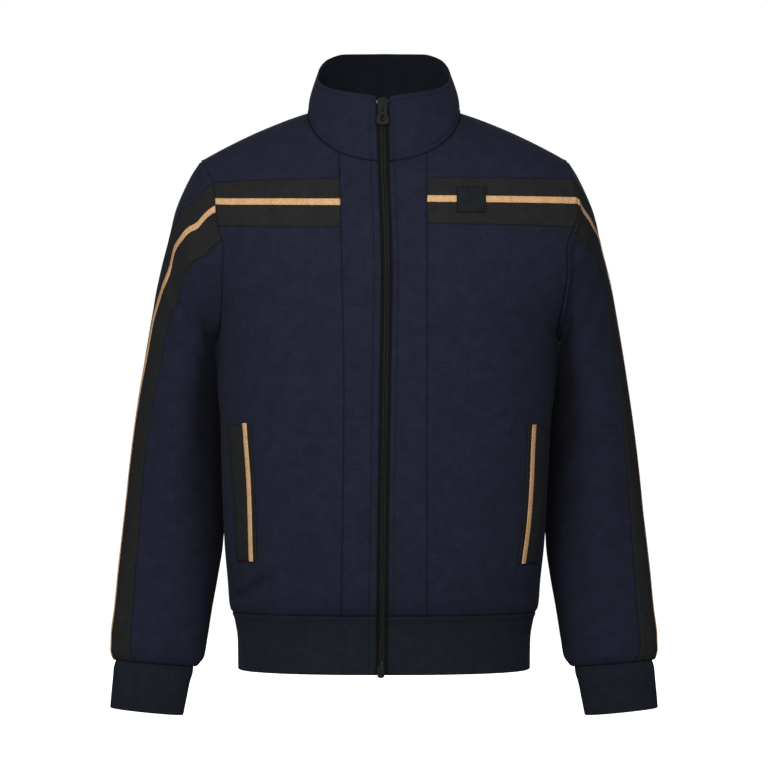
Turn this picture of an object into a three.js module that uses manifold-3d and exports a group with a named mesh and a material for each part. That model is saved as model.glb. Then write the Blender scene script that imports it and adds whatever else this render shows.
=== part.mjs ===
// A zip-up sweatshirt with a stand collar, filled out as if worn, with nobody in it.
//
// Millimetres, +Z up, the front faces -Y and the wearer's left is +X. The origin is the nape: the middle of
// the back neck seam. Every cloth piece is a thin wall: a grid of points on the garment's surface, and the
// same points moved in along that surface's own direction. Pieces are one SEAM apart.

import * as THREE from 'three';
import Module from 'manifold-3d';
import { mergeVertices } from 'three/addons/utils/BufferGeometryUtils.js';

const wasm = await Module();
wasm.setup();

// ---------------------------------------------------------------- driving dimensions

const SEAM = 0.3; // gap between two sewn pieces
const CLOTH = 1.8; // one layer of double knit
const DOUBLE = 3; // collar, waistband and cuffs are two layers
const STRIPE_CLOTH = 0.8; // flat woven stripe
const HEM_Z = -664;
const WAIST_SEAM_Z = -595;
const UNDERARM_Z = -268;
const SHOULDER_TIP_Z = -56;
const FRONT_ROUND = 2.4; // how square a body section is, 2 being an ellipse
const CROWN_ROUND = 2.2; // how square the chest closes over into the shoulder line
const NECK = { half: 91, frontDrop: 60 };
const ARMHOLE = { front: 78, back: 74 }; // how far the armhole reaches before and behind the side seam

const RIGHT = -1;
const LEFT = 1;
const FRONT = -1;
const BACK = 1;
const SIDES = [['right', RIGHT], ['left', LEFT]];

// Body sections, up from the hem: half widths at the wearer's right and left, and depths before and behind
// the side seams. Above the underarm the widths only steer the curve, because the armhole cuts it short.
const BODY = [
  { z: -664, right: 175, left: 175, front: 126, back: 112, backRound: 2.2 },
  { z: -628, right: 175.5, left: 175.5, front: 127, back: 113, backRound: 2.2 },
  { z: -605, right: 179, left: 179, front: 130, back: 116, backRound: 2.2 },
  { z: -595, right: 182, left: 182, front: 133, back: 119, backRound: 2.2 },
  { z: -586, right: 185, left: 185, front: 140, back: 125, backRound: 2.2 },
  { z: -560, right: 187, left: 187, front: 144, back: 130, backRound: 2.1 },
  { z: -512, right: 191, left: 192, front: 144, back: 132, backRound: 2.1 },
  { z: -400, right: 195, left: 198, front: 141, back: 130, backRound: 2.1 },
  { z: -300, right: 196, left: 203, front: 139, back: 128, backRound: 2.1 },
  { z: -268, right: 197, left: 206, front: 137, back: 127, backRound: 2.15 },
  { z: -224, right: 207, left: 229, front: 136, back: 130, backRound: 2.25 },
  { z: -190, right: 219, left: 249, front: 135, back: 132, backRound: 2.35 },
  { z: -160, right: 227, left: 261, front: 134, back: 133, backRound: 2.4 },
  { z: -137, right: 242, left: 285, front: 132, back: 134, backRound: 2.4 },
  { z: -115, right: 252, left: 311, front: 129, back: 135, backRound: 2.4 },
  { z: -79, right: 256, left: 330, front: 125, back: 138, backRound: 2.4 },
  { z: -50, right: 257, left: 331, front: 122, back: 141, backRound: 2.4 },
  { z: 0, right: 258, left: 332, front: 122, back: 164, backRound: 2.4 },
  { z: 30, right: 258, left: 332, front: 122, back: 170, backRound: 2.4 },
];

// Sleeve sections from the armhole to the cuff seam: the outer and inner edge seen from the front, half the
// depth from front to back, and how far its middle lies behind the side seam. The elbow hangs a little back.
const SLEEVE = [
  { row: 0, outX: 219, outZ: -56, inX: 197, inZ: -268, deep: 76, mid: -2, round: 2.2 },
  { row: 1, outX: 229, outZ: -69, inX: 200, inZ: -270.5, deep: 75, mid: 1, round: 2.2 },
  { row: 2, outX: 241, outZ: -92, inX: 201, inZ: -275, deep: 73, mid: 5, round: 2.2 },
  { row: 3, outX: 250, outZ: -114, inX: 201, inZ: -281, deep: 71, mid: 9, round: 2.2 },
  { row: 4, outX: 257, outZ: -138, inX: 200, inZ: -289, deep: 68, mid: 14, round: 2.2 },
  { row: 5, outX: 265, outZ: -172, inX: 198, inZ: -301, deep: 65, mid: 19, round: 2.2 },
  { row: 6, outX: 273, outZ: -205, inX: 196, inZ: -316, deep: 62, mid: 24, round: 2.15 },
  { row: 7, outX: 280, outZ: -242, inX: 194.7, inZ: -334, deep: 59, mid: 29, round: 2.1 },
  { row: 8, outX: 287.5, outZ: -285, inX: 194, inZ: -356, deep: 55.5, mid: 32, round: 2.08 },
  { row: 9, outX: 294.5, outZ: -330, inX: 193.5, inZ: -383, deep: 52, mid: 33, round: 2.05 },
  { row: 10, outX: 301, outZ: -375, inX: 193, inZ: -413, deep: 48.5, mid: 33, round: 2 },
  { row: 11, outX: 306.5, outZ: -420, inX: 192.4, inZ: -446, deep: 45, mid: 31, round: 1.97 },
  { row: 12, outX: 311, outZ: -465, inX: 192, inZ: -481, deep: 41, mid: 27, round: 1.93 },
  { row: 13, outX: 315.5, outZ: -508, inX: 194, inZ: -516, deep: 36.5, mid: 20, round: 1.9 },
  { row: 14, outX: 319.5, outZ: -548, inX: 199.5, inZ: -553, deep: 32.5, mid: 11, round: 1.87 },
  { row: 15, outX: 323, outZ: -590, inX: 206.5, inZ: -594, deep: 29.5, mid: 1, round: 1.85 },
  { row: 16, outX: 326.5, outZ: -622, inX: 211.5, inZ: -628, deep: 27.5, mid: -8, round: 1.85 },
  { row: 17, outX: 327, outZ: -641, inX: 215, inZ: -649, deep: 26, mid: -12, round: 1.85 },
  { row: 18, outX: 323, outZ: -653, inX: 224.5, inZ: -661, deep: 20, mid: -14, round: 1.9 },
];
const SLEEVE_SETTLES = 5; // rows over which the sleeve turns from the armhole's shape to its own
const LEFT_INNER_EASE = 0.55; // share of the wider left chest that the left sleeve's inner edge keeps off

// Cuff sections, from the cuff seam to the open end.
const CUFF = [
  { row: 0, outX: 323.2, outZ: -653.6, inX: 226, inZ: -662.2, deep: 20.5, mid: -14.5, round: 2 },
  { row: 1, outX: 324.2, outZ: -671, inX: 232, inZ: -679.5, deep: 21, mid: -16.5, round: 2 },
  { row: 2, outX: 326, outZ: -691, inX: 236, inZ: -699.5, deep: 21, mid: -18, round: 2 },
  { row: 3, outX: 327.5, outZ: -710, inX: 240, inZ: -719, deep: 21, mid: -19, round: 2 },
];

// Folds of the upper sleeves: soft troughs across the arm. turn is the place around the sleeve.
const SLEEVE_FOLDS = [
  { side: RIGHT, row: 5.2, turn: 0.33, reach: 0.14, slant: -7, depth: 4.5, width: 0.62 },
  { side: RIGHT, row: 6.9, turn: 0.31, reach: 0.12, slant: -6, depth: 3.5, width: 0.6 },
  { side: RIGHT, row: 5.8, turn: 0.72, reach: 0.13, slant: 6, depth: 3.5, width: 0.62 },
  { side: LEFT, row: 5.6, turn: 0.34, reach: 0.12, slant: -6, depth: 3, width: 0.62 },
  { side: LEFT, row: 6.1, turn: 0.7, reach: 0.13, slant: 6, depth: 3.5, width: 0.62 },
];

// The chest band's lower and upper edge, and its stripe's, at the placket and at the armhole.
const CHEST_BAND = {
  right: {
    low: [-139, -136.5],
    high: [-80.5, -84],
    stripeLow: [-113.3, -110.4],
    stripeHigh: [-105.3, -102.8],
  },
  left: {
    low: [-134.3, -139],
    high: [-79.8, -78.5],
    stripeLow: [-109.4, -110],
    stripeHigh: [-101.4, -102],
  },
};

// The sleeve stripe follows one line down the arm: its turn around the sleeve, row by row. The band lies
// round it, a little wider before the stripe than behind it.
const SLEEVE_BAND_LINE = [
  { row: 0, right: 0.322, left: 0.336 },
  { row: 1.4, right: 0.323, left: 0.356 },
  { row: 2.4, right: 0.34, left: 0.377 },
  { row: 3.4, right: 0.356, left: 0.403 },
  { row: 4.4, right: 0.38, left: 0.45 },
  { row: 5.4, right: 0.392, left: 0.482 },
  { row: 6.3, right: 0.42, left: 0.49 },
  { row: 7.2, right: 0.44, left: 0.494 },
  { row: 8, right: 0.445, left: 0.495 },
  { row: 9, right: 0.465, left: 0.496 },
  { row: 10, right: 0.478, left: 0.496 },
  { row: 13, right: 0.485, left: 0.496 },
  { row: 15, right: 0.485, left: 0.495 },
  { row: 18, right: 0.487, left: 0.495 },
];
const SLEEVE_BAND = { before: 35, behind: 34 };
const STRIPE_WIDTH = 8;

// Pocket welts: inner and outer edge at top and bottom, measured across the front.
const POCKET = {
  right: { topZ: -369, bottomZ: -532, inner: [157, 149], outer: [185, 172.5] },
  left: { topZ: -371, bottomZ: -535, inner: [170, 157], outer: [194, 180] },
};
const POCKET_STRIPE = { offset: 3.8, width: 5.2 };
const CHEST_PATCH = { inner: 85.3, outer: 119.8, topZ: -90.5, bottomZ: -121.5 };

// The zip's line down the front, and the pieces along it.
const ZIP_LINE = [
  { z: -668, x: -2.6 },
  { z: -500, x: -1 },
  { z: -342, x: 1.2 },
  { z: -186, x: 3.4 },
  { z: -60, x: -0.5 },
  { z: 20, x: -2 },
];
const ZIP_OPENING = 7.6; // half of what shows between the placket edges
const CHAIN_HALF = 2.3;
const TAPE_CLOTH = 1.2;
const PLACKET_EDGE = [
  { z: -595, right: 49.7, left: 50.7 },
  { z: -330, right: 46.8, left: 50.7 },
  { z: -57, right: 52.6, left: 50.7 },
];

// Collar: the top edge's half width and depths, and its height around the neck.
const COLLAR_TOP = { half: 80, front: 75, back: 58, cornerRadius: 6 };
const COLLAR_HEIGHTS = [
  { angle: 0, top: 17 },
  { angle: 45, top: 27 },
  { angle: 90, top: 46 },
  { angle: 106, top: 59 },
  { angle: 123, top: 70 },
  { angle: 143, top: 76.5 },
  { angle: 180, top: 78 },
];

const COLOURS = {
  knit: 0x232230,
  band: 0x262626,
  stripe: 0xdaaa73,
  rib: 0x1d2027,
  tape: 0x141416,
  zip: 0x2c2c2e,
  stop: 0x9a9a9c,
};

const METAL = { roughness: 0.4, metalness: 0.6 };
const SOFT = { roughness: 0.85, metalness: 0 };
const finish = {};
for (const [name, colour] of Object.entries(COLOURS)) {
  const surface = name === 'stop' || name === 'zip' ? METAL : SOFT;
  finish[name] = new THREE.MeshStandardMaterial({ color: colour, ...surface });
}

// ---------------------------------------------------------------- small helpers

const mix = (from, to, share) => from + (to - from) * share;
const sideName = (side) => (side === RIGHT ? 'right' : 'left');
const clampTurn = (value) => Math.min(1, Math.max(-1, value));

/** Reads one column of a table at any value of its key column, on a smooth curve that never overshoots. */
function along(table, key, column, at) {
  const last = table.length - 1;
  if (at <= table[0][key]) return table[0][column];
  if (at >= table[last][key]) return table[last][column];
  let row = 0;
  while (at > table[row + 1][key]) row += 1;
  const grade = (i) => (table[i + 1][column] - table[i][column]) / (table[i + 1][key] - table[i][key]);
  const slope = (i) => {
    if (i === 0) return grade(0);
    if (i === last) return grade(last - 1);
    const product = grade(i - 1) * grade(i);
    return product <= 0 ? 0 : (2 * product) / (grade(i - 1) + grade(i));
  };
  const span = table[row + 1][key] - table[row][key];
  const t = (at - table[row][key]) / span;
  const rise = 3 * t * t - 2 * t * t * t;
  const start = t * (1 - t) * (1 - t) * span;
  const end = t * t * (t - 1) * span;
  return mix(table[row][column], table[row + 1][column], rise) + start * slope(row) + end * slope(row + 1);
}

const minus = (a, b) => [a[0] - b[0], a[1] - b[1], a[2] - b[2]];
const moved = (point, direction, distance) => point.map((value, axis) => value + direction[axis] * distance);
const lengthOf = (a) => Math.hypot(a[0], a[1], a[2]);
const unit = (a) => a.map((value) => value / lengthOf(a));

function cross(a, b) {
  return [a[1] * b[2] - a[2] * b[1], a[2] * b[0] - a[0] * b[2], a[0] * b[1] - a[1] * b[0]];
}

/** Evenly spread values from one end to the other, both included. */
function steps(from, to, count) {
  return Array.from({ length: count + 1 }, (_, i) => mix(from, to, i / count));
}

/** Points at equal distances along a line of many points. */
function evenly(line, count) {
  const run = [0];
  for (let i = 1; i < line.length; i += 1) run.push(run[i - 1] + lengthOf(minus(line[i], line[i - 1])));
  const total = run[run.length - 1];
  return steps(0, total, count).map((target) => {
    let i = 1;
    while (i < line.length - 1 && run[i] < target) i += 1;
    const share = (target - run[i - 1]) / (run[i] - run[i - 1]);
    return line[i].map((value, axis) => mix(line[i - 1][axis], value, share));
  });
}

// ---------------------------------------------------------------- the body's surface
// x is measured out from the middle on either side, and y from the plane of the side seams.

const PROBE = 0.04; // millimetres either side of a point, to find which way the cloth faces

const halfWidth = (side, z) => along(BODY, 'z', sideName(side), z);
const reachOf = (face, z) => along(BODY, 'z', face === FRONT ? 'front' : 'back', z);
const roundOf = (face, z) => (face === FRONT ? FRONT_ROUND : along(BODY, 'z', 'backRound', z));

/** Height of the shoulder line, where front and back meet: it slopes and droops away from the neck. */
const SHOULDER = { top: 22.3, slope: 0.1335, droop: 0.00102 };
const shoulderZ = (x) => SHOULDER.top - SHOULDER.slope * x - SHOULDER.droop * x * x;
const shoulderX = (z) => {
  const lead = SHOULDER.slope / (2 * SHOULDER.droop);
  return Math.sqrt(lead * lead + (SHOULDER.top - z) / SHOULDER.droop) - lead;
};
const TIP_X = shoulderX(SHOULDER_TIP_Z);

/** How much of the depth is left at a height, from 1 at the underarm to 0 on the shoulder line. */
function closing(x, z, power) {
  if (z <= UNDERARM_Z) return 1;
  const share = (z - UNDERARM_Z) / (shoulderZ(x) - UNDERARM_Z);
  return Math.max(0, 1 - share ** CROWN_ROUND) ** (power / CROWN_ROUND);
}

function bodyDepth(side, face, x, z) {
  const round = roundOf(face, z);
  const across = Math.max(0, 1 - (x / halfWidth(side, z)) ** round) ** (1 / round);
  return reachOf(face, z) * across * closing(x, z, 1);
}

/** The way straight out of the cloth at a point of the body. */
function bodyOut(side, face, x, y, z) {
  const level = (px, py, pz) => {
    const round = roundOf(face, pz);
    const across = 1 - (Math.abs(px) / halfWidth(side, pz)) ** round;
    return (Math.abs(py) / reachOf(face, pz)) ** round - across * closing(Math.abs(px), pz, round);
  };
  const slope = [
    level(x + PROBE, y, z) - level(x - PROBE, y, z),
    level(x, y + PROBE, z) - level(x, y - PROBE, z),
    level(x, y, z + PROBE) - level(x, y, z - PROBE),
  ];
  const out = unit(slope);
  return [out[0] * side, out[1], out[2]];
}

/** One point of the body's cloth, with its way out. The cloth stops half a seam short of the side plane. */
function bodyPoint(side, face, x, z) {
  const depth = Math.max(SEAM / 2, bodyDepth(side, face, x, z));
  return { at: [side * x, face * depth, z], out: bodyOut(side, face, x, face * depth, z) };
}

/** Distance out from the middle for a share of the way round the section, 0 in front to 1 at the side. */
const spread = (share) => Math.sin((share * Math.PI) / 2) ** (2 / FRONT_ROUND);
const shareOf = (fraction) => (Math.asin(Math.min(1, fraction) ** (FRONT_ROUND / 2)) * 2) / Math.PI;

// ---------------------------------------------------------------- the armhole
// turn goes once round: 0 under the arm, 0.25 in front, 0.5 at the shoulder tip, 0.75 behind.

const NEARLY = 1e-6; // a length too small to matter

const ARMHOLE_MID = (SHOULDER_TIP_Z + UNDERARM_Z) / 2;
const ARMHOLE_HALF = (SHOULDER_TIP_Z - UNDERARM_Z) / 2;

function armholePoint(side, turn) {
  const angle = turn * 2 * Math.PI;
  const face = turn < 0.5 ? FRONT : BACK;
  const z = ARMHOLE_MID - ARMHOLE_HALF * Math.cos(angle);
  const y = -(face === FRONT ? ARMHOLE.front : ARMHOLE.back) * Math.sin(angle);
  let near = 0;
  let far = TIP_X + 20;
  for (let halving = 0; halving < 40; halving += 1) {
    const x = (near + far) / 2;
    if (bodyDepth(side, face, x, z) > Math.abs(y) + NEARLY) near = x;
    else far = x;
  }
  return [side * near, y, z];
}

function turnAt(face, z) {
  const turn = Math.acos(clampTurn((ARMHOLE_MID - z) / ARMHOLE_HALF)) / (2 * Math.PI);
  return face === FRONT ? turn : 1 - turn;
}

/** The body's outer edge at a height: the side seam, the armhole, or the tip of the shoulder above it. */
function bodyEdge(side, face, z) {
  if (z <= UNDERARM_Z) return halfWidth(side, z);
  if (z >= SHOULDER_TIP_Z) return TIP_X;
  return Math.abs(armholePoint(side, turnAt(face, z))[0]);
}

// ---------------------------------------------------------------- the sleeve's surface

const RING_COLUMNS = ['outX', 'outZ', 'inX', 'inZ', 'deep', 'mid', 'round'];

/** A point of a closed section given by its outer and inner edge, its depth and its middle. */
function ringPoint(side, ring, turn) {
  const angle = turn * 2 * Math.PI;
  const bend = (value) => Math.sign(value) * Math.abs(value) ** (2 / ring.round);
  const share = (1 - bend(Math.cos(angle))) / 2;
  const y = ring.mid - ring.deep * bend(Math.sin(angle));
  return [side * mix(ring.inX, ring.outX, share), y, mix(ring.inZ, ring.outZ, share)];
}

function ringAt(table, row, side) {
  const ring = {};
  for (const column of RING_COLUMNS) ring[column] = along(table, 'row', column, row);
  const wider = halfWidth(LEFT, ring.inZ) - halfWidth(RIGHT, ring.inZ);
  if (side === LEFT && ring.inZ < UNDERARM_Z) ring.inX += wider;
  if (side === LEFT && ring.inZ >= UNDERARM_Z) ring.inX += wider * LEFT_INNER_EASE;
  return ring;
}

/** How deep the folds are at one place on a sleeve. */
function foldDepth(side, row, turn) {
  let depth = 0;
  for (const fold of SLEEVE_FOLDS) {
    if (fold.side !== side) continue;
    const length = (turn - fold.turn) / fold.reach;
    const across = (row - fold.row - fold.slant * (turn - fold.turn)) / fold.width;
    depth += fold.depth * Math.exp(-length * length - across * across);
  }
  return depth;
}

function sleevePoint(side, row, turn) {
  const ring = ringAt(SLEEVE, row, side);
  const point = ringPoint(side, ring, turn);
  const settle = Math.max(0, 1 - row / SLEEVE_SETTLES) ** 2;
  if (settle > 0) {
    const pull = minus(armholePoint(side, turn), ringPoint(side, ringAt(SLEEVE, 0, side), turn));
    point.forEach((_, axis) => {
      point[axis] += pull[axis] * settle;
    });
  }
  const middle = [side * mix(ring.inX, ring.outX, 0.5), ring.mid, mix(ring.inZ, ring.outZ, 0.5)];
  return moved(point, unit(minus(middle, point)), foldDepth(side, row, turn));
}

const TURN_PROBE = 0.004; // turns and rows either side of a sleeve's point, to find which way it faces
const ROW_PROBE = 0.04;

function sleeveOut(side, row, turn) {
  const place = (atRow, atTurn) => sleevePoint(side, Math.max(0, atRow), (atTurn + 1) % 1);
  const round = minus(place(row, turn + TURN_PROBE), place(row, turn - TURN_PROBE));
  const down = minus(place(row + ROW_PROBE, turn), place(row - ROW_PROBE, turn));
  return unit(cross(down, round)).map((value) => value * side);
}

/** At the armhole both walls share one mitre, halfway between the body's way out and the sleeve's. */
function mitre(side, turn) {
  const [x, y, z] = armholePoint(side, turn);
  const face = turn < 0.5 ? FRONT : BACK;
  const own = bodyOut(side, face, Math.abs(x), face * Math.max(SEAM / 2, Math.abs(y)), z);
  const other = sleeveOut(side, 0, turn);
  return unit(own.map((value, axis) => value + other[axis]));
}

// ---------------------------------------------------------------- how a sleeve is divided

const SLEEVE_START = 0.028; // first row, one seam beyond the armhole
const sleeveRows = [SLEEVE_START, ...SLEEVE.slice(1).map((ring) => ring.row)];

const RING_CORNERS = 24;

/** The distance round a sleeve at a row, for turning millimetres into turns. */
function sleeveGirth(side, row) {
  let girth = 0;
  for (let i = 0; i < RING_CORNERS; i += 1) {
    const from = sleevePoint(side, row, i / RING_CORNERS);
    const to = sleevePoint(side, row, ((i + 1) / RING_CORNERS) % 1);
    girth += lengthOf(minus(to, from));
  }
  return girth;
}

const bandTurn = (side, row) => along(SLEEVE_BAND_LINE, 'row', sideName(side), row);

/** The band's edge before (-1) or behind (1) its stripe. */
function bandEdge(side, row, girth, sign) {
  return bandTurn(side, row) + (sign < 0 ? -SLEEVE_BAND.before : SLEEVE_BAND.behind) / girth;
}

// Where each piece of a sleeve has its corners, as shares of the way across it. The back piece has one at the
// shoulder tip, and the body's edges have theirs at the same places round the armhole.
const FRONT_SHARES = steps(0, 1, 8);
const BAND_SHARES = steps(0, 1, 4);
const STRIPE_SHARES = [0, 0.5, 1];
const BACK_SPANS = { above: 3, below: 9 };

function backShares(side) {
  const from = bandEdge(side, 0, sleeveGirth(side, 0), 1);
  const tip = (0.5 - from) / (1 - from);
  return [...steps(0, tip, BACK_SPANS.above), ...steps(tip, 1, BACK_SPANS.below).slice(1)];
}

/** Every corner of a sleeve's first row, as turns round the armhole. */
function sleeveTurns(side) {
  const girth = sleeveGirth(side, 0);
  const bandFront = bandEdge(side, 0, girth, -1);
  const bandBack = bandEdge(side, 0, girth, 1);
  return [
    ...FRONT_SHARES.map((share) => bandFront * share),
    ...BAND_SHARES.map((share) => mix(bandFront, bandBack, share)),
    ...backShares(side).map((share) => mix(bandBack, 1, share)),
  ];
}

/** A piece of sleeve between two lines, each a function of the row and girth that gives a turn. */
function sleevePiece(side, shares, from, to) {
  return sleeveRows.map((row) => {
    const girth = sleeveGirth(side, row);
    return shares.map((share) => {
      const turn = mix(from(row, girth), to(row, girth), share);
      const out = row === SLEEVE_START ? mitre(side, turn) : sleeveOut(side, row, turn);
      return { at: sleevePoint(side, row, turn), out };
    });
  });
}

// ---------------------------------------------------------------- walls

/**
 * A closed wall from a grid of { at, out } points: its face is lift above the points, its back is thick
 * below the face. A grid that goes all the way round joins its last column to its first.
 */
function wall(grid, thick, { lift = 0, round = false } = {}) {
  const rows = grid.length;
  const columns = grid[0].length;
  const positions = [];
  for (const depth of [lift, lift - thick]) {
    for (const line of grid) {
      for (const { at, out } of line) positions.push(...moved(at, out, depth));
    }
  }
  const face = (r, c) => r * columns + (c % columns);
  const back = (r, c) => rows * columns + face(r, c);
  const index = [];
  const quad = (a, b, c, d) => index.push(a, b, c, a, c, d);
  const lastColumn = round ? columns : columns - 1;
  for (let r = 0; r < rows - 1; r += 1) {
    for (let c = 0; c < lastColumn; c += 1) {
      quad(face(r, c), face(r, c + 1), face(r + 1, c + 1), face(r + 1, c));
      quad(back(r, c), back(r + 1, c), back(r + 1, c + 1), back(r, c + 1));
    }
  }
  for (let c = 0; c < lastColumn; c += 1) {
    quad(face(0, c), back(0, c), back(0, c + 1), face(0, c + 1));
    quad(back(rows - 1, c + 1), back(rows - 1, c), face(rows - 1, c), face(rows - 1, c + 1));
  }
  if (!round) {
    for (let r = 0; r < rows - 1; r += 1) {
      quad(face(r + 1, 0), back(r + 1, 0), back(r, 0), face(r, 0));
      quad(back(r, columns - 1), back(r + 1, columns - 1), face(r + 1, columns - 1), face(r, columns - 1));
    }
  }
  return solid(positions, index);
}

/** A geometry whose faces all look outwards, whichever way round its grid was given. */
function solid(positions, index) {
  let volume = 0;
  for (let i = 0; i < index.length; i += 3) {
    const [a, b, c] = [0, 1, 2].map((corner) => {
      const first = index[i + corner] * 3;
      return positions.slice(first, first + 3);
    });
    const normal = cross(minus(b, a), minus(c, a));
    volume += a[0] * normal[0] + a[1] * normal[1] + a[2] * normal[2];
  }
  const faces = volume < 0 ? index.slice().reverse() : index;
  const geometry = new THREE.BufferGeometry();
  geometry.setAttribute('position', new THREE.Float32BufferAttribute(positions, 3));
  geometry.setIndex(faces);
  return geometry;
}

const garment = new THREE.Group();
const NAPE_Y = bodyDepth(LEFT, BACK, 0, 0);

/** Adds a named piece, moved from the side-seam plane to the nape. */
function add(name, geometry, material) {
  geometry.computeVertexNormals();
  const mesh = new THREE.Mesh(geometry, material);
  mesh.name = name;
  mesh.position.y = -NAPE_Y;
  garment.add(mesh);
  return mesh;
}

// ---------------------------------------------------------------- front panels

const zipX = (z) => along(ZIP_LINE, 'z', 'x', z);
const placketX = (side, z) => along(PLACKET_EDGE, 'z', sideName(side), z);

/** Front neckline: 0 in the middle to 90 degrees where it meets the shoulder line. */
function frontNeck(degrees) {
  const angle = (degrees * Math.PI) / 180;
  const rise = shoulderZ(NECK.half) * Math.sin(angle) ** 4;
  return { x: NECK.half * Math.sin(angle), z: rise - NECK.frontDrop * Math.cos(angle) };
}

/** Height of the front neckline over a distance out from the middle. */
function frontNeckZ(x) {
  return frontNeck((Math.asin(Math.min(1, x / NECK.half)) * 180) / Math.PI).z;
}

/** Back neckline: 90 degrees at the shoulder line to 180 at the nape. */
function backNeck(degrees) {
  const angle = (degrees * Math.PI) / 180;
  const settle = shoulderZ(NECK.half) * Math.sin(angle) ** 2;
  return { x: NECK.half * Math.sin(angle), z: settle };
}

/** Heights up a column that ends at a top: even steps of the curve that closes into the shoulder line. */
function columnHeights(bottom, top, ridge, count) {
  const shareAt = (z) => {
    const height = (z - UNDERARM_Z) / (ridge - UNDERARM_Z);
    return Math.asin(Math.min(1, height ** (CROWN_ROUND / 2)));
  };
  return steps(shareAt(bottom), shareAt(top), count).map((angle, i) => {
    if (i === 0) return bottom;
    return UNDERARM_Z + (ridge - UNDERARM_Z) * Math.sin(angle) ** (2 / CROWN_ROUND);
  });
}

/** A front point at a share of the way from the placket seam to the panel's outer edge. */
function frontPoint(side, share, z) {
  const edge = bodyEdge(side, FRONT, z);
  const from = shareOf((placketX(side, z) + SEAM / 2) / edge);
  const x = edge * spread(mix(from, 1, share));
  const point = bodyPoint(side, FRONT, x, z);
  if (share === 1 && z > UNDERARM_Z) {
    point.at = armholePoint(side, turnAt(FRONT, z));
    point.out = mitre(side, turnAt(FRONT, z));
  }
  return point;
}

const edgeAt = (line, share) => mix(line[0], line[1], share);

/** A front piece between two lines across the chest, each given at the placket and at the armhole. */
function frontPiece(side, low, high, heights, columns) {
  return heights.map((height) => steps(0, 1, columns).map((share) => {
    const z = mix(edgeAt(low, share), edgeAt(high, share), height);
    return frontPoint(side, share, z);
  }));
}

/** Heights between two levels of the armhole where the sleeve has its own corners, with both ends. */
function armholeHeights(side, face, low, high) {
  const own = 1; // corners nearer than this to an end are left out
  const inside = sleeveTurns(side)
    .filter((turn) => (turn < 0.5) === (face === FRONT))
    .map((turn) => armholePoint(side, turn)[2])
    .filter((z) => z > low + own && z < high - own)
    .sort((a, b) => a - b);
  return [low, ...inside, high];
}

const FRONT_COLUMNS = 8;
const FRONT_LOWER = [-587, -577, -545, -512, -460, -410, -360, -310];
const shifted = (line, by) => line.map((z) => z + by);

for (const [word, side] of SIDES) {
  const band = CHEST_BAND[word];
  const waistZ = WAIST_SEAM_Z + SEAM / 2;
  const bandLow = shifted(band.low, -SEAM / 2);
  const toShare = (z) => (z - waistZ) / (bandLow[1] - waistZ);
  const levels = [waistZ, ...FRONT_LOWER, ...armholeHeights(side, FRONT, UNDERARM_Z, bandLow[1])];
  const lower = frontPiece(side, [waistZ, waistZ], bandLow, levels.map(toShare), FRONT_COLUMNS);
  add(`front_lower_${word}`, wall(lower, CLOTH), finish.knit);

  const low = shifted(band.low, SEAM / 2);
  const high = shifted(band.high, -SEAM / 2);
  const bandLevels = armholeHeights(side, FRONT, low[1], high[1]);
  const bandShares = bandLevels.map((z) => (z - low[1]) / (high[1] - low[1]));
  add(`chest_band_${word}`, wall(frontPiece(side, low, high, bandShares, FRONT_COLUMNS), CLOTH), finish.band);

  const stripe = frontPiece(side, band.stripeLow, band.stripeHigh, [0, 1], FRONT_COLUMNS);
  add(`chest_stripe_${word}`, wall(stripe, STRIPE_CLOTH, { lift: SEAM + STRIPE_CLOTH }), finish.stripe);
}

// The yoke runs from the band up to the neckline and the shoulder line, and the placket beside the zip from
// the waist seam to the neckline. The shares are places up and across the placket.
const NECK_COLUMNS = 5;
const SHOULDER_COLUMNS = 6;
const PLACKET_TOP_Z = -57;
const PLACKET_UP = [
  0, 0.014, 0.035, 0.08, 0.16, 0.25, 0.34, 0.43, 0.52, 0.6, 0.68, 0.76, 0.83, 0.89, 0.95, 1,
];
const PLACKET_ACROSS = [0, 0.3, 0.65, 1];

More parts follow.
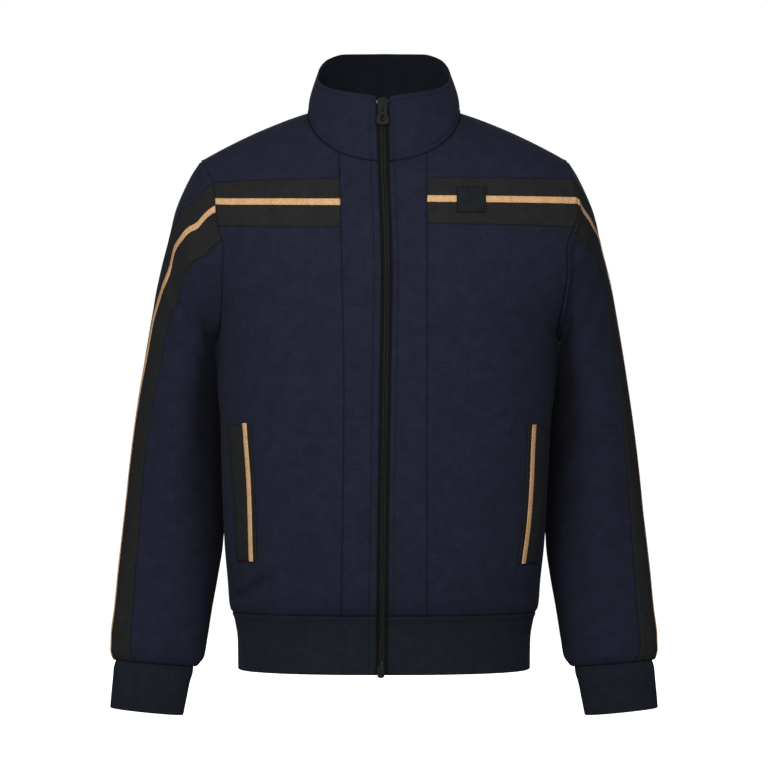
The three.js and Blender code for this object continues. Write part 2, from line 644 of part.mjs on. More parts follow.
for (const [word, side] of SIDES) {
  const start = placketX(side, PLACKET_TOP_Z) + SEAM / 2;
  const startAngle = (Math.asin(start / NECK.half) * 180) / Math.PI;
  const neck = steps(startAngle, 90, NECK_COLUMNS).map(frontNeck);
  const ridge = steps(NECK.half, TIP_X, SHOULDER_COLUMNS).slice(1).map((x) => ({ x, z: shoulderZ(x) }));
  const tops = [...neck, ...ridge];
  const high = CHEST_BAND[word].high;
  const levels = armholeHeights(side, FRONT, high[1] + SEAM / 2, SHOULDER_TIP_Z);
  const rows = levels.length - 1;
  const lines = tops.map((top, column) => {
    const share = column / (tops.length - 1);
    const bottom = edgeAt(high, share) + SEAM / 2;
    const last = column === tops.length - 1;
    const edge = (z) => bodyEdge(side, FRONT, z);
    const from = mix(shareOf((placketX(side, bottom) + SEAM / 2) / edge(bottom)), 1, share);
    const to = shareOf(top.x / TIP_X);
    const heights = last ? levels : columnHeights(bottom, top.z, shoulderZ(top.x), rows);
    return heights.map((z, row) => {
      const x = column === 0 ? start : edge(z) * spread(mix(from, to, row / rows));
      const point = bodyPoint(side, FRONT, Math.min(x, shoulderX(z)), z);
      if (last) {
        point.at = armholePoint(side, turnAt(FRONT, z));
        point.at[1] = Math.min(point.at[1], -SEAM / 2);
        point.out = mitre(side, turnAt(FRONT, z));
      }
      return point;
    });
  });
  const grid = levels.map((_, row) => lines.map((line) => line[row]));
  add(`chest_yoke_${word}`, wall(grid, CLOTH), finish.knit);

  const placket = PLACKET_UP.map((height) => PLACKET_ACROSS.map((share) => {
    const acrossAt = (z) => mix(side * zipX(z) + ZIP_OPENING, placketX(side, z) - SEAM / 2, share);
    const top = frontNeckZ(acrossAt(-NECK.frontDrop));
    const z = mix(WAIST_SEAM_Z + SEAM / 2, top, height);
    return bodyPoint(side, FRONT, acrossAt(z), z);
  }));
  add(`placket_${word}`, wall(placket, CLOTH), finish.knit);
}

// ---------------------------------------------------------------- back

const BACK_LOWER = [-595, -587, -577, -545, -500, -455, -410, -360, -310];

function backColumns(side) {
  const neck = steps(180, 90, NECK_COLUMNS + 1).map(backNeck);
  const ridge = steps(NECK.half, TIP_X, SHOULDER_COLUMNS).slice(1).map((x) => ({ x, z: shoulderZ(x) }));
  const tops = [...neck, ...ridge];
  const levels = armholeHeights(side, BACK, UNDERARM_Z, SHOULDER_TIP_Z);
  const rows = levels.length - 1;
  return tops.map((top, column) => {
    const share = column / (tops.length - 1);
    const to = shareOf(top.x / TIP_X);
    const heights = share === 1 ? levels : columnHeights(UNDERARM_Z, top.z, shoulderZ(top.x), rows);
    const lower = BACK_LOWER.map((z, row) => (row === 0 ? z + SEAM / 2 : z))
      .map((z) => bodyPoint(side, BACK, halfWidth(side, z) * spread(share), z));
    const upper = heights.map((z, row) => {
      const x = bodyEdge(side, BACK, z) * spread(mix(share, to, row / rows));
      const point = bodyPoint(side, BACK, Math.min(x, shoulderX(z)), z);
      if (share === 1 && row > 0) {
        point.at = armholePoint(side, turnAt(BACK, z));
        point.at[1] = Math.max(point.at[1], SEAM / 2);
        point.out = mitre(side, turnAt(BACK, z));
      }
      return point;
    });
    return [...lower, ...upper];
  });
}

{
  const columns = [...backColumns(RIGHT).reverse(), ...backColumns(LEFT).slice(1)];
  const grid = columns[0].map((_, row) => columns.map((column) => column[row]));
  add('back', wall(grid, CLOTH), finish.knit);
}

// ---------------------------------------------------------------- waistband

const WAISTBAND_HEIGHTS = [HEM_Z, -650, -628, WAIST_SEAM_Z - SEAM / 2];
const WAISTBAND_COLUMNS = 9; // in each quarter

/** A level line of the waistband from one zip edge round the back to the other. */
function waistbandRow(z) {
  const start = (side) => shareOf((side * zipX(z) + ZIP_OPENING) / halfWidth(side, z));
  const quarter = (side, face, from, to) => steps(from, to, WAISTBAND_COLUMNS)
    .map((share) => bodyPoint(side, face, halfWidth(side, z) * spread(share), z));
  return [
    ...quarter(RIGHT, FRONT, start(RIGHT), 1),
    ...quarter(RIGHT, BACK, 1, 0).slice(1),
    ...quarter(LEFT, BACK, 0, 1).slice(1),
    ...quarter(LEFT, FRONT, 1, start(LEFT)).slice(1),
  ];
}

add('waistband', wall(WAISTBAND_HEIGHTS.map(waistbandRow), DOUBLE), finish.rib);

// ---------------------------------------------------------------- collar

const COLLAR_COLUMNS = 36;
const COLLAR_UP = [0, 0.25, 0.5, 0.75, 1];
const COLLAR_LIFT = 0.6; // its seam stands this far off the neck, clear of the corners of both
const COLLAR_SWELL = 3; // how far the collar rounds out between its two edges
const NECK_POINTS = 24; // in each quarter of the neck seam, before they are spread evenly
const NEAR_SHOULDER = [89, 92]; // degrees where the front and back of the neck seam stop short of its ridge

/** Degrees round a neck line where the zip's edge meets it. */
function neckStart(side, z, half) {
  return (Math.asin((side * zipX(z) + ZIP_OPENING) / half) * 180) / Math.PI;
}

/** A line all round the neck from the right zip edge to the left one, given one half of it. */
const allRound = (half) => [...half(RIGHT), ...half(LEFT).reverse().slice(1)];

function neckSeamHalf(side) {
  const front = steps(neckStart(side, -NECK.frontDrop, NECK.half), NEAR_SHOULDER[0], NECK_POINTS);
  const back = steps(NEAR_SHOULDER[1], 180, NECK_POINTS);
  return [
    ...front.map(frontNeck).map(({ x, z }) => [side * x, -bodyDepth(side, FRONT, x, z), z]),
    [side * NECK.half, 0, shoulderZ(NECK.half)],
    ...back.map(backNeck).map(({ x, z }) => [side * x, bodyDepth(side, BACK, x, z), z]),
  ];
}

function collarEdgeHalf(side) {
  const start = neckStart(side, COLLAR_HEIGHTS[0].top, COLLAR_TOP.half);
  return steps(start, 180, NECK_POINTS * 2).map((degrees) => {
    const angle = (degrees * Math.PI) / 180;
    const depth = degrees < 90 ? COLLAR_TOP.front : COLLAR_TOP.back;
    const top = along(COLLAR_HEIGHTS, 'angle', 'top', degrees);
    return [side * COLLAR_TOP.half * Math.sin(angle), -depth * Math.cos(angle), top];
  });
}

const COLLAR_SEAM = evenly(allRound(neckSeamHalf), COLLAR_COLUMNS);
const COLLAR_EDGE = evenly(allRound(collarEdgeHalf), COLLAR_COLUMNS);

/** A collar point: columns run from the right zip edge round to the left one, height from seam to top edge. */
function collarPlace(column, height) {
  const at = Math.min(COLLAR_COLUMNS, Math.max(0, column));
  const up = Math.min(1, Math.max(0, height));
  const point = COLLAR_SEAM[at].map((value, axis) => mix(value, COLLAR_EDGE[at][axis], up));
  return moved(point, unit([point[0], point[1], 0]), COLLAR_SWELL * Math.sin(Math.PI * up));
}

function collarPoint(column, height) {
  const probe = 0.1; // share of the collar's height either side, to find which way it faces
  const at = collarPlace(column, height);
  if (height === 0) at[2] += COLLAR_LIFT;
  if (height === 1 && (column === 0 || column === COLLAR_COLUMNS)) at[2] -= COLLAR_TOP.cornerRadius;
  const round = minus(collarPlace(column + 1, height), collarPlace(column - 1, height));
  const up = minus(collarPlace(column, height + probe), collarPlace(column, height - probe));
  return { at, out: unit(cross(up, round)) };
}

{
  const columns = steps(0, COLLAR_COLUMNS, COLLAR_COLUMNS);
  const grid = COLLAR_UP.map((height) => columns.map((column) => collarPoint(column, height)));
  add('collar', wall(grid, DOUBLE), finish.knit);
}

// ---------------------------------------------------------------- sleeves and cuffs

function cuffPoint(side, row, turn) {
  const lastRow = CUFF.length - 1;
  const place = (atRow, atTurn) => {
    const ring = ringAt(CUFF, Math.min(lastRow, Math.max(0, atRow)), side);
    return ringPoint(side, ring, (atTurn + 1) % 1);
  };
  const round = minus(place(row, turn + TURN_PROBE), place(row, turn - TURN_PROBE));
  const down = minus(place(row + ROW_PROBE, turn), place(row - ROW_PROBE, turn));
  return { at: place(row, turn), out: unit(cross(down, round)).map((value) => value * side) };
}

for (const [word, side] of SIDES) {
  const seam = (girth) => SEAM / 2 / girth;
  const underarm = (_, girth) => seam(girth);
  const underarmAgain = (_, girth) => 1 - seam(girth);
  const bandLine = (sign, gap) => (row, girth) => bandEdge(side, row, girth, sign) + gap * seam(girth);
  const front = sleevePiece(side, FRONT_SHARES, underarm, bandLine(-1, -1));
  const band = sleevePiece(side, BAND_SHARES, bandLine(-1, 1), bandLine(1, -1));
  const back = sleevePiece(side, backShares(side), bandLine(1, 1), underarmAgain);
  add(`sleeve_front_${word}`, wall(front, CLOTH), finish.knit);
  add(`sleeve_band_${word}`, wall(band, CLOTH), finish.band);
  add(`sleeve_back_${word}`, wall(back, CLOTH), finish.knit);

  const stripeEdge = (sign) => (row, girth) => bandTurn(side, row) + (sign * STRIPE_WIDTH) / 2 / girth;
  const stripe = sleevePiece(side, STRIPE_SHARES, stripeEdge(-1), stripeEdge(1)).slice(0, -1);
  add(`sleeve_stripe_${word}`, wall(stripe, STRIPE_CLOTH, { lift: SEAM + STRIPE_CLOTH }), finish.stripe);

  const turns = steps(0, 1, RING_CORNERS).slice(0, -1);
  const cuff = CUFF.map(({ row }) => turns.map((turn) => cuffPoint(side, row, turn)));
  add(`cuff_${word}`, wall(cuff, DOUBLE, { round: true }), finish.rib);
}

// ---------------------------------------------------------------- pocket welts and chest patch

const WELT_SPANS = { up: 6, across: 4 };

/** A strip up a pocket between two lines, each a function that gives x from the welt's inner and outer edge. */
function pocketStrip(side, pocket, spans, acrossAt) {
  return steps(0, 1, WELT_SPANS.up).map((height) => {
    const z = mix(pocket.bottomZ, pocket.topZ, height);
    const inner = mix(pocket.inner[1], pocket.inner[0], height);
    const outer = mix(pocket.outer[1], pocket.outer[0], height);
    return steps(0, 1, spans).map((share) => bodyPoint(side, FRONT, acrossAt(inner, outer, share, z), z));
  });
}

for (const [word, side] of SIDES) {
  const weltX = (inner, outer, share, z) => {
    const edge = bodyEdge(side, FRONT, z);
    return edge * spread(mix(shareOf(inner / edge), shareOf(outer / edge), share));
  };
  const stripeX = (inner, _, share) => inner + POCKET_STRIPE.offset + POCKET_STRIPE.width * share;
  const welt = pocketStrip(side, POCKET[word], WELT_SPANS.across, weltX);
  const stripe = pocketStrip(side, POCKET[word], 1, stripeX);
  const stripeLift = SEAM * 2 + CLOTH + STRIPE_CLOTH;
  add(`pocket_welt_${word}`, wall(welt, CLOTH, { lift: SEAM + CLOTH }), finish.band);
  add(`pocket_stripe_${word}`, wall(stripe, STRIPE_CLOTH, { lift: stripeLift }), finish.stripe);
}

{
  const heights = [CHEST_PATCH.bottomZ, CHEST_PATCH.topZ];
  const across = steps(CHEST_PATCH.inner, CHEST_PATCH.outer, 4);
  const grid = heights.map((z) => across.map((x) => bodyPoint(LEFT, FRONT, x, z)));
  add('chest_patch', wall(grid, STRIPE_CLOTH, { lift: SEAM * 3 + STRIPE_CLOTH * 2 }), finish.band);
}

// ---------------------------------------------------------------- zip

/** The zip's line: on the body's front up to the neck seam, then up the collar's front edges. */
function zipPoint(z) {
  if (z <= -NECK.frontDrop) return [zipX(z), -bodyDepth(RIGHT, FRONT, 0, z), z];
  const low = COLLAR_SEAM[0];
  const high = COLLAR_EDGE[0];
  const height = (z - low[2]) / (high[2] - low[2]);
  const swell = COLLAR_SWELL * Math.sin(Math.PI * Math.min(1, Math.max(0, height)));
  return [zipX(z), mix(low[1], high[1], height) - swell, z];
}

function zipOut(z) {
  const up = minus(zipPoint(z + 1), zipPoint(z - 1));
  return unit([0, -up[2], up[1]]);
}

/** A strip along the zip between two distances from its middle line. */
function zipStrip(heights, from, to, columns, crown = 0) {
  return heights.map((z) => steps(from, to, columns).map((x, column) => {
    const point = moved(zipPoint(z), zipOut(z), column > 0 && column < columns ? crown : 0);
    return { at: [point[0] + x, point[1], point[2]], out: zipOut(z) };
  }));
}

const STRIP_ROWS = [
  -640, -615, -597, -585, -560, -520, -470, -420, -370, -320, -270, -225, -185, -150, -118, -88, -62, -35, -12,
];
const TAPE = { low: -662.5, high: 12, depth: 0.7 };
const CHAIN = { high: 9, depth: 0.4, thick: 2.4, crown: 0.5 };
const BOX = { top: -653, bottom: -667, half: 4.1, rounding: 3, front: 2.2, back: 0.2, aside: 1.2 };

for (const [word, side] of SIDES) {
  const near = side * (CHAIN_HALF + SEAM);
  const far = side * (ZIP_OPENING - SEAM);
  const rows = [TAPE.low, ...STRIP_ROWS, TAPE.high];
  add(`zip_tape_${word}`, wall(zipStrip(rows, near, far, 1), TAPE_CLOTH, { lift: -TAPE.depth }), finish.tape);
}
{
  const rows = [BOX.top + SEAM, ...STRIP_ROWS, CHAIN.high];
  const grid = zipStrip(rows, -CHAIN_HALF, CHAIN_HALF, 2, CHAIN.crown);
  add('zip_chain', wall(grid, CHAIN.thick, { lift: -CHAIN.depth }), finish.tape);
}

/** Joins extruded and boxed shapes into one solid geometry. */
function joined(...geometries) {
  const bodies = geometries.map((geometry) => {
    const bare = geometry.clone();
    bare.deleteAttribute('normal');
    bare.deleteAttribute('uv');
    const merged = mergeVertices(bare, 1e-4);
    return new wasm.Manifold(new wasm.Mesh({
      numProp: 3,
      vertProperties: new Float32Array(merged.attributes.position.array),
      triVerts: new Uint32Array(merged.index.array),
    }));
  });
  const mesh = bodies.reduce((sum, body) => sum.add(body)).getMesh();
  const geometry = new THREE.BufferGeometry();
  geometry.setAttribute('position', new THREE.BufferAttribute(new Float32Array(mesh.vertProperties), 3));
  geometry.setIndex(Array.from(mesh.triVerts));
  return geometry;
}

/** A flat plate with its outline in x and z, from one depth to another, where depth grows out of the chest. */
function plate(shape, from, to) {
  const geometry = new THREE.ExtrudeGeometry(shape, {
    depth: to - from,
    bevelEnabled: false,
    curveSegments: 6,
  });
  geometry.translate(0, 0, from);
  geometry.rotateX(Math.PI / 2);
  return geometry;
}

/** A box given by its middle x and z, its sizes and its depths. */
function block(x, z, width, height, from, to) {
  const geometry = new THREE.BoxGeometry(width, to - from, height);
  geometry.translate(x, -(from + to) / 2, z);
  return geometry;
}

// The slider stands closed at the top of the zip. Heights are from its own bottom edge, and depths are out
// from the zip's line.
const SLIDER = {
  length: 17.5,
  half: 5.7,
  foot: 4.2,
  shoulder: 5,
  nose: 4,
  sheet: 1.3,
  front: 0.6,
  back: -3.6,
};
const POST = { width: 3.2, low: 11.5, high: 16.9, lap: 0.5 };
const CROWN = { half: 1.2, low: 1.2, high: 15.2, bar: 1.4, clear: 2.7 };
const PULL = {
  pivotUp: 3.9,
  above: 0.9,
  thick: 1.5,
  length: 22,
  topHalf: 5.7,
  neckHalf: 5.1,
  endHalf: 7.6,
};
const PULL_EDGE = { corner: 1.5, top: 2, neck: 8, end: 7, rounding: 3.5 };
const PULL_SLOT = { half: 1.7, from: 0.9, to: 5.6 };
const PULL_HOLE = { half: 2.7, from: 9.2, to: 18.6 };
const TOP_STOP = { aside: 1.2, up: 12, width: 1.8, height: 3.4, back: -0.4, front: 1.2 };
const SLIDER_BOTTOM_Z = -1.3;

const sliderLean = (() => {
  const up = minus(zipPoint(SLIDER_BOTTOM_Z + SLIDER.length), zipPoint(SLIDER_BOTTOM_Z));
  return Math.atan2(up[1], up[2]);
})();

/** Places a slider part: its own x, depth and height turn with the collar's lean about the slider's foot. */
function onSlider(geometry) {
  geometry.rotateX(-sliderLean);
  const [x, y, z] = zipPoint(SLIDER_BOTTOM_Z);
  geometry.translate(x, y, z);
  return geometry;
}

/** A shape through [x, z] corners. A corner given as [x, z, cx, cz] is reached on a curve that turns at cx, cz. */
function outlineOf(corners, Kind = THREE.Shape) {
  const shape = new Kind();
  shape.moveTo(corners[0][0], corners[0][1]);
  for (const [x, z, cx, cz] of corners.slice(1)) {
    if (cx === undefined) shape.lineTo(x, z);
    else shape.quadraticCurveTo(cx, cz, x, z);
  }
  shape.closePath();
  return shape;
}

/** A symmetric shape from the corners of its wearer's-left half, listed upwards from the middle of its foot. */
function symmetric(half) {
  const flipped = half.map((corner) => corner.map((value, i) => (i % 2 === 0 ? -value : value)));
  const back = [];
  for (let i = flipped.length - 1; i > 0; i -= 1) {
    const [, , cx, cz] = flipped[i];
    const [x, z] = flipped[i - 1];
    back.push(cx === undefined ? [x, z] : [x, z, cx, cz]);
  }
  return outlineOf([...half, flipped[flipped.length - 1].slice(0, 2), ...back]);
}

const face = SLIDER.front + SLIDER.sheet;

{
  const { foot, half, length, shoulder, nose } = SLIDER;
  const outline = symmetric([
    [0, 0],
    [foot, 0],
    [half, shoulder],
    [half, length - nose],
    [0, length, half, length],
  ]);
  const top = face + CROWN.clear + CROWN.bar;
  const postHeight = POST.high - POST.low;
  const postMiddle = (POST.high + POST.low) / 2;
  const post = block(0, postMiddle, POST.width, postHeight, SLIDER.back - POST.lap, SLIDER.front + POST.lap);
  const crown = (z, height, from) => block(0, z, CROWN.half * 2, height, from, top);
  const feet = [CROWN.low + CROWN.bar / 2, CROWN.high - CROWN.bar / 2]
    .map((z) => crown(z, CROWN.bar, face - POST.lap));
  const bar = crown((CROWN.low + CROWN.high) / 2, CROWN.high - CROWN.low, top - CROWN.bar);
  const frontPlate = plate(outline, SLIDER.front, face);
  const backPlate = plate(outline, SLIDER.back - SLIDER.sheet, SLIDER.back);
  add('zip_slider', onSlider(joined(frontPlate, backPlate, post, ...feet, bar)), finish.zip);
}

// The pull tab hangs on the slider's bar through a slot, and has a finger hole near its end.
{
  const top = PULL.pivotUp + PULL.above;
  const end = PULL.pivotUp - PULL.length;
  const down = (distance) => PULL.pivotUp - distance;
  const pull = symmetric([
    [0, end],
    [PULL.endHalf, end + PULL_EDGE.rounding, PULL.endHalf, end],
    [PULL.endHalf, end + PULL_EDGE.end],
    [PULL.neckHalf, top - PULL_EDGE.neck],
    [PULL.topHalf, top - PULL_EDGE.top],
    [PULL.topHalf - PULL_EDGE.corner, top],
    [0, top],
  ]);
  const slot = outlineOf([
    [-PULL_SLOT.half, down(PULL_SLOT.from)],
    [PULL_SLOT.half, down(PULL_SLOT.from)],
    [PULL_SLOT.half, down(PULL_SLOT.to)],
    [-PULL_SLOT.half, down(PULL_SLOT.to)],
  ], THREE.Path);
  const hole = new THREE.Path();
  const holeHalfHeight = (PULL_HOLE.to - PULL_HOLE.from) / 2;
  const holeMiddle = down((PULL_HOLE.from + PULL_HOLE.to) / 2);
  hole.absellipse(0, holeMiddle, PULL_HOLE.half, holeHalfHeight, 0, 2 * Math.PI, true, 0);
  pull.holes.push(slot, hole);
  const middle = face + CROWN.clear / 2;
  add('zip_pull_tab', onSlider(plate(pull, middle - PULL.thick / 2, middle + PULL.thick / 2)), finish.zip);
}

// The bottom stop: a moulded box round the end of the chain, a little below the hem.
{
  const { top, bottom, half, rounding } = BOX;
  const box = symmetric([
    [0, bottom],
    [half, bottom + rounding, half, bottom],
    [half, top],
    [0, top],
  ]);
  const geometry = plate(box, BOX.back, BOX.front);
  geometry.translate(zipX(top) - BOX.aside, zipPoint((top + bottom) / 2)[1], 0);
  add('zip_bottom_stop', geometry, finish.zip);
}

// Two small metal clamps end the chain beside the slider's shoulders.
for (const [word, side] of SIDES) {
  const { aside, up, width, height, back, front } = TOP_STOP;
  const geometry = block(side * (SLIDER.half + aside), up, width, height, back, front);
  add(`zip_top_stop_${word}`, onSlider(geometry), finish.stop);
}

export default garment;
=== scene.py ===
# A zip-up sweatshirt with a stand collar, filled out as if worn, with nobody in it.
#
# Sizes are in millimetres until a mesh is made. x is out from the middle to either side, y runs from the
# plane of the side seams to the back, and z is up from the nape. Every cloth piece is a thin shell: its face
# is a fine grid on the garment's surface, pressed in at its seams, with soft creases, and its back lies one
# thickness below. The pieces meet at their seams.
import math

import bpy
import numpy as np
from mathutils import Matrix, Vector


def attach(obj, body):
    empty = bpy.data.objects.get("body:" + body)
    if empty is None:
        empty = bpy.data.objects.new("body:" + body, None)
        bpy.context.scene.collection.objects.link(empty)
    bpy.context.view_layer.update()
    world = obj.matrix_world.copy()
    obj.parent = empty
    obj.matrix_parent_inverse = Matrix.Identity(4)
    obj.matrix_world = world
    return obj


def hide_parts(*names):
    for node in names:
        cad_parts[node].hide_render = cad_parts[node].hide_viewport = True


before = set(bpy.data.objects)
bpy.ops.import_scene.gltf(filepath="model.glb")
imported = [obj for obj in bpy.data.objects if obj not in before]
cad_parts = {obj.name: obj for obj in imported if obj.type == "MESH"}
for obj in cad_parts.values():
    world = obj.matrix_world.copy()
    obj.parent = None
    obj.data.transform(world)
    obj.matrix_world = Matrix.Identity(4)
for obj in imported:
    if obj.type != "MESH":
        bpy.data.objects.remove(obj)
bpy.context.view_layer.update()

MM = 0.001
RIGHT, LEFT = -1, 1
FRONT, BACK = -1, 1
SIDES = (("right", RIGHT), ("left", LEFT))
WORD = {RIGHT: "right", LEFT: "left"}

# ------------------------------------------------------------------ the garment's cut


def table(columns, rows):
    """Named columns from rows of numbers."""
    return dict(zip(columns.split(), np.array(rows, float).T))


HEM_Z = -664
WAIST_SEAM_Z = -595
UNDERARM_Z = -268
PLACKET_TOP_Z = -57.0  # where the placket meets the neck seam
SHOULDER_TIP_Z = -56
FRONT_ROUND = 2.4  # how square the front's level sections are: 2 is an ellipse
CROWN_ROUND = 2.2  # how square the body closes into the shoulder line
NECK_HALF, NECK_DROP = 91, 60  # the neckline's half width and its depth in front
ARMHOLE_REACH = {FRONT: 78, BACK: 74}  # how far the armhole reaches before and behind the side seam

# The body's level sections: half width to the right and left, depth in front and behind, and how square the
# back is. Above the underarm the widths only steer the curve.
BODY = table("z right left front back back_round", [
    (-664, 175, 175, 126, 112, 2.2),
    (-628, 175.5, 175.5, 127, 113, 2.2),
    (-605, 179, 179, 130, 116, 2.2),
    (-595, 182, 182, 133, 119, 2.2),
    (-586, 185, 185, 137.5, 124, 2.2),
    (-560, 187, 187, 142.5, 129.5, 2.1),
    (-512, 191, 192, 144, 132, 2.1),
    (-400, 195, 198, 141, 130, 2.1),
    (-300, 196, 203, 139, 128, 2.1),
    (-268, 197, 206, 137, 127, 2.15),
    (-224, 207, 229, 136, 130, 2.25),
    (-190, 219, 249, 135, 132, 2.35),
    (-160, 227, 261, 134, 133, 2.4),
    (-137, 242, 285, 132, 134, 2.4),
    (-115, 252, 311, 129, 135, 2.4),
    (-79, 256, 330, 125, 138, 2.4),
    (-50, 257, 331, 122, 141, 2.4),
    (0, 258, 332, 122, 164, 2.4),
    (30, 258, 332, 122, 170, 2.4),
])

# Sleeve sections from the armhole to the cuff seam: outer and inner edge as seen from the front, half the
# depth, how far behind the side seams the middle lies, and how square the section is.
SLEEVE = table("row out_x out_z in_x in_z deep mid round", [
    (0, 219, -56, 197, -268, 76, -2, 2.2),
    (1, 229, -69, 200, -270.5, 75, 1, 2.2),
    (2, 241, -92, 201, -275, 73, 5, 2.2),
    (3, 250, -114, 201, -281, 71, 9, 2.2),
    (4, 257, -138, 200, -289, 68, 14, 2.2),
    (5, 265, -172, 198, -301, 65, 19, 2.2),
    (6, 273, -205, 196, -316, 62, 24, 2.15),
    (7, 280, -242, 194.7, -334, 59, 29, 2.1),
    (8, 287.5, -285, 194, -356, 55.5, 32, 2.08),
    (9, 294.5, -330, 193.5, -383, 52, 33, 2.05),
    (10, 301, -375, 193, -413, 48.5, 33, 2),
    (11, 306.5, -420, 192.4, -446, 45, 31, 1.97),
    (12, 311, -465, 192, -481, 41, 27, 1.93),
    (13, 315.5, -508, 194, -516, 36.5, 20, 1.9),
    (14, 319.5, -548, 199.5, -553, 32.5, 11, 1.87),
    (15, 323, -590, 206.5, -594, 29.5, 1, 1.85),
    (16, 326.5, -622, 211.5, -628, 27.5, -8, 1.85),
    (17, 327, -641, 215, -649, 26, -12, 1.85),
    (18, 323, -653, 224.5, -661, 20, -14, 1.9),
])
SLEEVE_SETTLES = 5  # rows over which a sleeve turns from the armhole's shape to its own
LEFT_INNER_EASE = 0.55  # how much of the left side's greater width its sleeve follows beside the armhole

CUFF = table("row out_x out_z in_x in_z deep mid round", [
    (0, 323.2, -653.6, 226, -662.2, 20.5, -14.5, 2),
    (1, 324.2, -671, 232, -679.5, 21, -16.5, 2),
    (2, 326, -691, 236, -699.5, 21, -18, 2),
    (3, 327.5, -710, 240, -719, 21, -19, 2),
])

# Lines across the chest, each given at the placket and at the armhole.
CHEST_BAND = {
    RIGHT: {"low": (-139, -136.5), "high": (-80.5, -84), "stripe": ((-113.3, -110.4), (-105.3, -102.8))},
    LEFT: {"low": (-134.3, -139), "high": (-79.8, -78.5), "stripe": ((-109.4, -110), (-101.4, -102))},
}

# The sleeve stripe's turn round the sleeve, row by row. The band lies round it.
BAND_LINE = table("row right left", [
    (0, 0.322, 0.336),
    (1.4, 0.323, 0.356),
    (2.4, 0.34, 0.377),
    (3.4, 0.356, 0.403),
    (4.4, 0.38, 0.45),
    (5.4, 0.392, 0.482),
    (6.3, 0.42, 0.49),
    (7.2, 0.44, 0.494),
    (8, 0.445, 0.495),
    (9, 0.465, 0.496),
    (10, 0.478, 0.496),
    (13, 0.485, 0.496),
    (15, 0.485, 0.495),
    (18, 0.487, 0.495),
])
BAND_BEFORE, BAND_BEHIND = 35, 34  # how far the band reaches before and behind the middle of its stripe
STRIPE_WIDTH = 8

POCKET = {
    RIGHT: {"top": -369, "bottom": -532, "inner": (157, 149), "outer": (185, 172.5)},
    LEFT: {"top": -371, "bottom": -535, "inner": (170, 157), "outer": (194, 180)},
}
POCKET_STRIPE = {"offset": 3.8, "width": 5.2}
# How far a welt bows outward, and a power that says where: the larger it is, the higher up.
POCKET_BULGE = {RIGHT: (-1.6, 1.1), LEFT: (2.7, 0.75)}
PATCH = {"inner": 85.3, "outer": 119.8, "top": -90.5, "bottom": -121.5}

ZIP_LINE = table("z x", [(-668, -2.6), (-500, -1), (-342, 1.2), (-186, 3.4), (-60, -0.5), (20, -2)])
ZIP_OPENING = 6.8  # from the middle of the zip to the folded edge of each placket
PLACKET_EDGE = table("z right left", [(-595, 49.7, 50.7), (-330, 46.8, 50.7), (-57, 52.6, 50.7)])

COLLAR_TOP = {"half": 80, "front": 75, "back": 58, "corner": 6}
COLLAR_HEIGHTS = table("angle top", [
    (0, 17), (45, 27), (90, 46), (106, 59), (123, 70), (143, 76.5), (180, 78),
])
COLLAR_SWELL = 3  # how far the collar bellies out halfway up

# Where a grid has its lines beside an edge, close enough for a pressed seam and a sunk row of stitches.
NEAR_EDGE = (0.5, 1.2, 2.2, 3.6, 5.2, 6.4, 7.2, 8, 8.8, 9.6, 11)

# ------------------------------------------------------------------ small helpers


def along(columns, name, at, key="z"):
    """Reads a column of a table at any value of its key column, on a smooth curve that never overshoots."""
    keys, values = columns[key], columns[name]
    at = np.clip(at, keys[0], keys[-1])
    grade = np.diff(values) / np.diff(keys)
    product = grade[:-1] * grade[1:]
    same_way = product > 0
    inner = np.where(same_way, 2 * product / np.where(same_way, grade[:-1] + grade[1:], 1), 0)
    slope = np.concatenate([grade[:1], inner, grade[-1:]])
    row = np.clip(np.searchsorted(keys, at, side="right") - 1, 0, len(keys) - 2)
    span = keys[row + 1] - keys[row]
    t = (at - keys[row]) / span
    rise = t * t * (3 - 2 * t)
    bend = t * (1 - t) * ((1 - t) * slope[row] - t * slope[row + 1]) * span
    return mix(values[row], values[row + 1], rise) + bend


def mix(start, end, share):
    return start + (end - start) * share


def smooth(share):
    """0 to 1, with no corner at either end."""
    t = np.clip(share, 0, 1)
    return t * t * (3 - 2 * t)


def length_of(vectors):
    return np.linalg.norm(vectors, axis=-1)


def unit(vectors):
    return vectors / length_of(vectors)[..., None]


def stack(*columns):
    """Points from x, y and z, each an array or a number."""
    return np.stack(np.broadcast_arrays(*columns), -1).astype(float)


def shares(length, spacing, near_ends=NEAR_EDGE):
    """Places from 0 to 1 along a length, closer beside both ends, where a seam is pressed."""
    close = np.array(near_ends) / length
    inside = np.linspace(close[-1], 1 - close[-1], max(2, round(length / spacing)))
    return np.concatenate([[0], close[:-1], inside, 1 - close[-2::-1], [1]])


def run_along(points, axis):
    """Distance from the first point to each point, along one way of a grid."""
    step = length_of(np.diff(points, axis=axis))
    start = np.zeros_like(np.take(step, [0], axis))
    return np.concatenate([start, np.cumsum(step, axis)], axis)


# ------------------------------------------------------------------ the body's surface


def half_width(side, z):
    return along(BODY, WORD[side], z)


def reach_of(face, z):
    return along(BODY, "front" if face == FRONT else "back", z)


def round_of(face, z):
    return FRONT_ROUND + 0 * z if face == FRONT else along(BODY, "back_round", z)


SHOULDER_TOP, SHOULDER_SLOPE, SHOULDER_DROOP = 22.3, 0.1335, 0.00102


def shoulder_z(x):
    """Height of the shoulder line, where front and back meet."""
    return SHOULDER_TOP - SHOULDER_SLOPE * x - SHOULDER_DROOP * x * x


def shoulder_x(z):
    lead = SHOULDER_SLOPE / (2 * SHOULDER_DROOP)
    return np.sqrt(np.maximum(0, lead * lead + (SHOULDER_TOP - z) / SHOULDER_DROOP)) - lead


TIP_X = float(shoulder_x(SHOULDER_TIP_Z))


